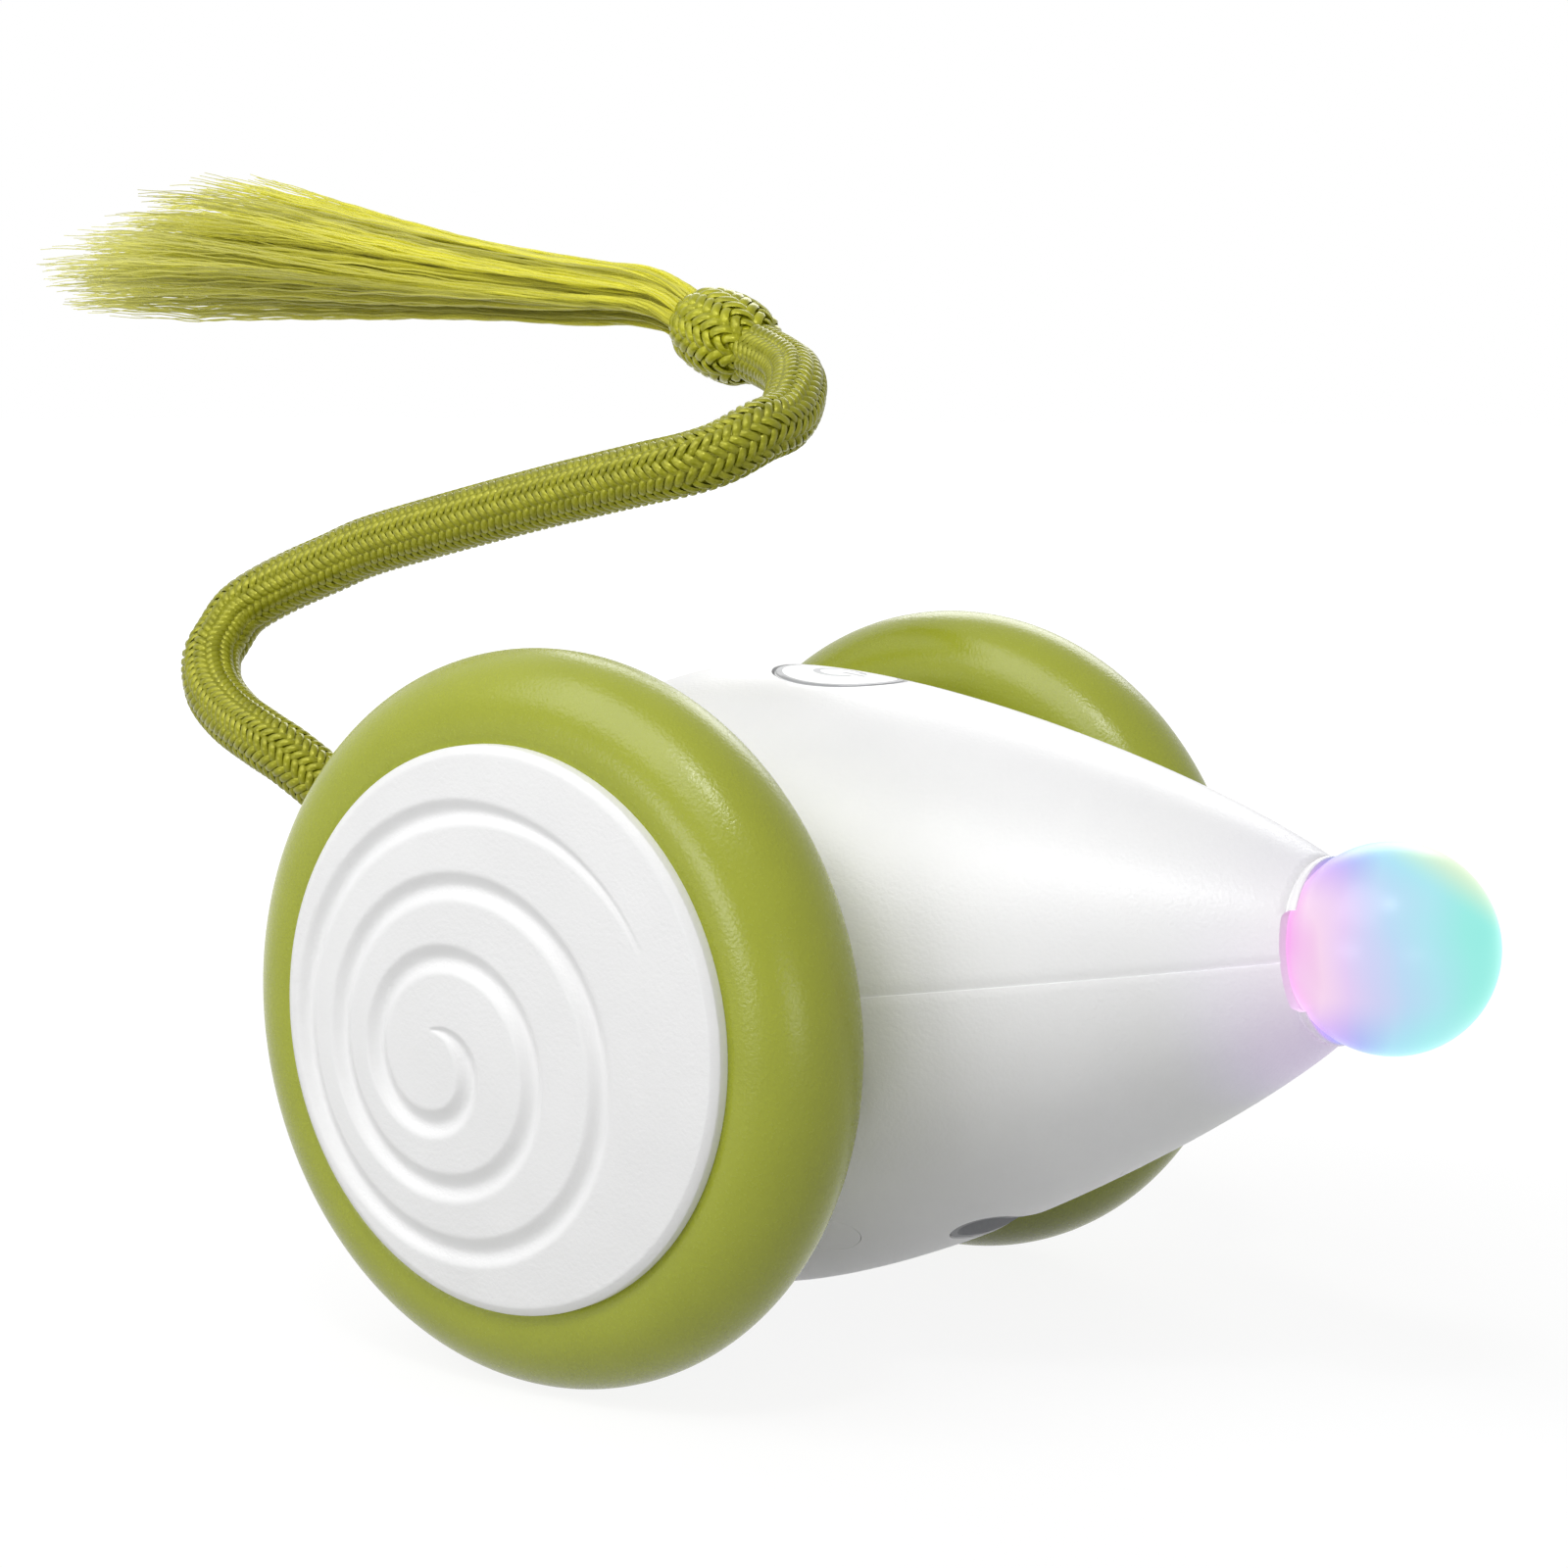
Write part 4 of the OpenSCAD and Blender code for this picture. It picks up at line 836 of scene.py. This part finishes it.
# bands of the print as (measure, middle, half width)
bands = [(radius, mark["ringR"], mark["ringHalf"]), (radius, mark["arcR"], mark["lineHalf"]),
         (axes.outputs["X"], 0.0, mark["lineHalf"]), (axes.outputs["Y"], mark["stemMiddle"], mark["stemHalf"]),
         (axes.outputs["X"], 0.0, mark["gapHalf"])]
ring, arc, stemX, stemY, gapX = (
    addNode(tree, "ShaderNodeMath", {0: measure, 1: middle, 2: width}, operation="COMPARE").outputs["Value"]
    for measure, middle, width in bands)
gapY = addNode(tree, "ShaderNodeMath", {0: axes.outputs["Y"], 1: 0.0}, operation="GREATER_THAN").outputs["Value"]
stem = addNode(tree, "ShaderNodeMath", {0: stemX, 1: stemY}, operation="MULTIPLY")
gap = addNode(tree, "ShaderNodeMath", {0: gapX, 1: gapY}, operation="MULTIPLY")
openArc = addNode(tree, "ShaderNodeMath", {0: arc, 1: gap.outputs["Value"]}, operation="SUBTRACT", use_clamp=True)
marks = addNode(tree, "ShaderNodeMath", {0: ring, 1: openArc.outputs["Value"]}, operation="MAXIMUM")
ink = addNode(tree, "ShaderNodeMath", {0: marks.outputs["Value"], 1: stem.outputs["Value"]}, operation="MAXIMUM")
printed = addNode(tree, "ShaderNodeMix", {
    "Factor": ink.outputs["Value"], 6: linear(mark["plain"]), 7: linear(mark["ink"])}, data_type="RGBA")
tree.links.new(printed.outputs[2], shader.inputs["Base Color"])
grain(tree, shader, place, size=0.22, detail=2, relief=(0.12, 0.03))

# mode button: its top follows the body, with a small bevel round it
points = []
rings, steps = 14, 96
across = Vector((math.cos(buttonTilt), 0, -math.sin(buttonTilt)))
for i in range(rings + 1):
    r = button["radius"] * (i / (rings - 1))
    if i >= rings - 1:
        r = button["radius"] - (button["edge"] if i == rings - 1 else 0)
    for u, v in circle(r, steps):
        spot = buttonTop + across * u + Vector((0, v, 0))
        for _ in range(4):
            # slide along the button's axis until the spot is on the body
            gapToBody = math.hypot(spot.y, spot.z) - bodyRadius(spot.x)
            spot = spot - buttonWay * gapToBody
        if i == rings:
            spot = spot - buttonWay * button["edge"]
        points.append(tuple(spot))
for u, v in circle(button["radius"], steps):
    points.append(tuple(buttonTop + across * u + Vector((0, v, 0)) - buttonWay * button["deep"]))
faces = gridFaces(rings + 2, steps, True) + [tuple((rings + 1) * steps + k for k in range(steps))]
modeButton = toolMesh("modeButton", points, faces)
finishPiece(modeButton, buttonMaterial, "button", 40)
layer = modeButton.data.uv_layers.new(name="UVMap")
toButton = (bodyPlace @ Matrix.Scale(mm, 4)).inverted()
for loop in modeButton.data.loops:
    local = toButton @ modeButton.data.vertices[loop.vertex_index].co - buttonTop
    layer.data[loop.index].uv = (-local.y, local.dot(across))
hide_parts("mode_button")
print("button printed")

# wheels
wheel = {
    "tyreR": 5.3, "track": 26.33, "rimR": 18.2, "seatGap": 0.05, "capGap": 0.25, "lip": [(0.12, -0.02), (0, -0.16)],
    "capR": 20.5, "bevel": 0.65, "bevelHigh": 0.35, "dome": 0.7, "capEdge": 32.2, "capSeat": 30.6,
    "round": 0.08, "roundHigh": 0.03, "underR": 15.5,
}
spiral = {"start": (-5.33, -2.6), "drift": (1.2, 0.4), "radius": 3.5, "pitch": 4.96, "first": -0.22, "turns": 3.14,
          "wide": 2.2, "deep": 0.6, "taper": 0.2, "least": 0.15, "soft": 0.8, "points": 1400}


def groove(x, y):
    # depth of the spiral groove under each point of the cap
    u = np.linspace(spiral["first"], spiral["first"] + spiral["turns"], spiral["points"])
    lineR = spiral["radius"] + spiral["pitch"] * u
    lineX = spiral["start"][0] + u * spiral["drift"][0] + lineR * np.cos(-2 * math.pi * u)
    lineY = spiral["start"][1] + u * spiral["drift"][1] + lineR * np.sin(-2 * math.pi * u)
    fromEnd = np.minimum(u - u[0], u[-1] - u)
    fullHalf, least = spiral["wide"] / 2, spiral["least"]
    half = fullHalf * np.minimum(1, least + (1 - least) * fromEnd / spiral["taper"])
    depth = np.zeros(len(x))
    batch = 2000  # points at a time, to spare memory
    for i in range(0, len(x), batch):
        away = np.hypot(x[i:i + batch, None] - lineX, y[i:i + batch, None] - lineY)
        near = away.argmin(1)
        reach = half[near]
        ratio = np.clip(away[np.arange(len(near)), near] / reach, 0, 1)
        hollow = (0.5 + 0.5 * np.cos(math.pi * ratio)) ** spiral["soft"]
        depth[i:i + batch] = spiral["deep"] * (reach / fullHalf) * hollow
    return depth


def makeWheel(side, label):
    place = (Matrix.Translation(Vector((toy["axleX"], 0, toy["wheelR"])) * mm)
             @ Matrix.Rotation(math.pi if side > 0 else 0, 4, "Z") @ Matrix.Rotation(math.pi / 2, 4, "X"))
    # tyre: round section with flat seats for the hub's rim and the cap
    tyreR, track = wheel["tyreR"], wheel["track"]
    middle = toy["wheelR"] - tyreR
    seatR, capR = wheel["rimR"] + wheel["seatGap"], wheel["capR"] + wheel["capGap"]
    seatW = wheel["capSeat"] - wheel["seatGap"]
    section, sectionSteps = [], 96
    for k in range(sectionSteps + 1):
        turn = math.radians(-180 + 360 * k / sectionSteps)
        r, w = middle + tyreR * math.cos(turn), track + tyreR * math.sin(turn)
        if r > seatR and not (r < capR and w > seatW):
            section.append((r, w))
    cut = math.sqrt(tyreR ** 2 - (capR - middle) ** 2)
    section += [(capR + r, track + cut + w) for r, w in wheel["lip"]]
    inner = math.sqrt(tyreR ** 2 - (seatR - middle) ** 2)
    section += [(capR, seatW), (seatR, seatW), (seatR, track - inner)]
    section.append(section[0])
    tyre = lathe(label + "Tyre", section, place, 224, rubberMaterial, label + "_wheel", 50)
    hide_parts(label + "_tyre")
    # cap: domed face with the spiral groove, bevelled rim, plain underside
    rimR, edgeW = wheel["capR"], wheel["capEdge"]
    faceR, steps, rings = rimR - wheel["bevel"], 384, 112
    topW = edgeW + wheel["bevelHigh"]
    radii = np.linspace(0, 1, rings + 1)[1:] * faceR
    turn = np.arange(steps) * 2 * math.pi / steps
    x = (radii[:, None] * np.cos(turn)).ravel()
    y = (radii[:, None] * np.sin(turn)).ravel()
    w = topW + wheel["dome"] * (1 - (x * x + y * y) / faceR ** 2) - groove(x, y)
    points = [(0, 0, topW + wheel["dome"])] + list(zip(x, y, w))
    rim = [(faceR + wheel["round"], topW - wheel["roundHigh"]), (rimR - wheel["round"], edgeW + wheel["roundHigh"]),
           (rimR, edgeW - wheel["round"]), (rimR, wheel["capSeat"]), (wheel["underR"], wheel["capSeat"])]
    for r, level in rim:
        points += [(r * math.cos(t), r * math.sin(t), level) for t in turn]
    faces = [(0, 1 + k, 1 + (k + 1) % steps) for k in range(steps)]
    for row in range(1, len(points) - steps, steps):
        for k in range(steps):
            n = (k + 1) % steps
            faces.append((row + k, row + steps + k, row + steps + n, row + n))
    faces.append(tuple(reversed(range(len(points) - steps, len(points)))))
    put = place @ Matrix.Scale(mm, 4)
    cap = addPiece(label + "Cap", [put @ Vector(p) for p in points], faces, capMaterial,
                   label + "_wheel", 60)
    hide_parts(label + "_cap")


makeWheel(1, "left")
makeWheel(-1, "right")
print("wheels made")

# studio: pale floor that keeps the shadow, white behind, soft lamps as (place, size, power), in metres
studio = {
    "world": 0.32, "floor": "#BEBEBE", "floorHalf": 6, "floorWhite": 1.2, "shadowNear": 0.04, "shadowFar": 0.28,
    "shadowWhite": 0.74, "aim": (0, 0, 0.03),
    "lamps": {
        "keyLamp": ((0.16, -0.3, 0.52), (0.1, 0.08), 0.52),
        "topLamp": ((-0.06, -0.2, 0.3), (0.3, 0.25), 0.64),
        "frontLamp": ((-0.16, -0.56, 0.07), (0.25, 0.12), 0.5),
        "lowLamp": ((0.45, -0.36, 0.06), (0.2, 0.06), 0.2),
        "backLamp": ((-0.25, 0.5, 0.36), (0.4, 0.3), 0.9),
    },
}
white = (1, 1, 1, 1)


def seenRays(tree):
    # 1 for what is seen straight or in gloss, 0 for light that falls on the part
    path = addNode(tree, "ShaderNodeLightPath")
    seen = path.outputs["Is Camera Ray"]
    for kind in ("Is Glossy Ray", "Is Transmission Ray"):
        seen = addNode(tree, "ShaderNodeMath", {0: seen, 1: path.outputs[kind]}, operation="MAXIMUM").outputs["Value"]
    return seen


floorMesh = bpy.data.meshes.new("floor")
reach = studio["floorHalf"]
floorCorners = [(-reach, -reach, 0), (reach, -reach, 0), (reach, reach, 0), (-reach, reach, 0)]
floorMesh.from_pydata(floorCorners, [], [(0, 1, 2, 3)])
floor = bpy.data.objects.new("floor", floorMesh)
scene.collection.objects.link(floor)
floorMaterial = bpy.data.materials.new("paleFloor")
floorMaterial.use_nodes = True
tree = floorMaterial.node_tree
tree.nodes.clear()
paint = addNode(tree, "ShaderNodeBsdfDiffuse", {"Color": linear(studio["floor"])})
whiteLight = addNode(tree, "ShaderNodeEmission", {"Color": white, "Strength": studio["floorWhite"]})
# the white grows with distance, so that the floor runs into the background
spot = addNode(tree, "ShaderNodeTexCoord")
distance = addNode(tree, "ShaderNodeVectorMath", {0: spot.outputs["Object"]}, operation="LENGTH")
far = addNode(tree, "ShaderNodeMapRange", {
    "Value": distance.outputs["Value"], "From Min": studio["shadowNear"], "From Max": studio["shadowFar"],
    "To Min": studio["shadowWhite"], "To Max": 1.0}, interpolation_type="SMOOTHSTEP")
share = addNode(tree, "ShaderNodeMath", {0: seenRays(tree), 1: far.outputs["Result"]}, operation="MULTIPLY")
mix = addNode(tree, "ShaderNodeMixShader", {
    0: share.outputs["Value"], 1: paint.outputs["BSDF"], 2: whiteLight.outputs["Emission"]})
addNode(tree, "ShaderNodeOutputMaterial", {"Surface": mix.outputs["Shader"]})
floorMesh.materials.append(floorMaterial)

world = bpy.data.worlds.new("studioWhite")
scene.world = world
world.use_nodes = True
tree = world.node_tree
tree.nodes.clear()
level = addNode(tree, "ShaderNodeMapRange", {"Value": seenRays(tree), "To Min": studio["world"], "To Max": 1.0})
back = addNode(tree, "ShaderNodeBackground", {"Color": white, "Strength": level.outputs["Result"]})
addNode(tree, "ShaderNodeOutputWorld", {"Surface": back.outputs["Background"]})

for name, (lampPlace, size, power) in studio["lamps"].items():
    lamp = bpy.data.objects.new(name, bpy.data.lights.new(name, "AREA"))
    lamp.data.shape = "RECTANGLE"
    lamp.data.size, lamp.data.size_y = size
    lamp.data.energy = power
    lamp.location = lampPlace
    lamp.rotation_mode = "QUATERNION"
    lamp.rotation_quaternion = (Vector(studio["aim"]) - Vector(lampPlace)).to_track_quat("-Z", "Y")
    scene.collection.objects.link(lamp)
print("studio lit")
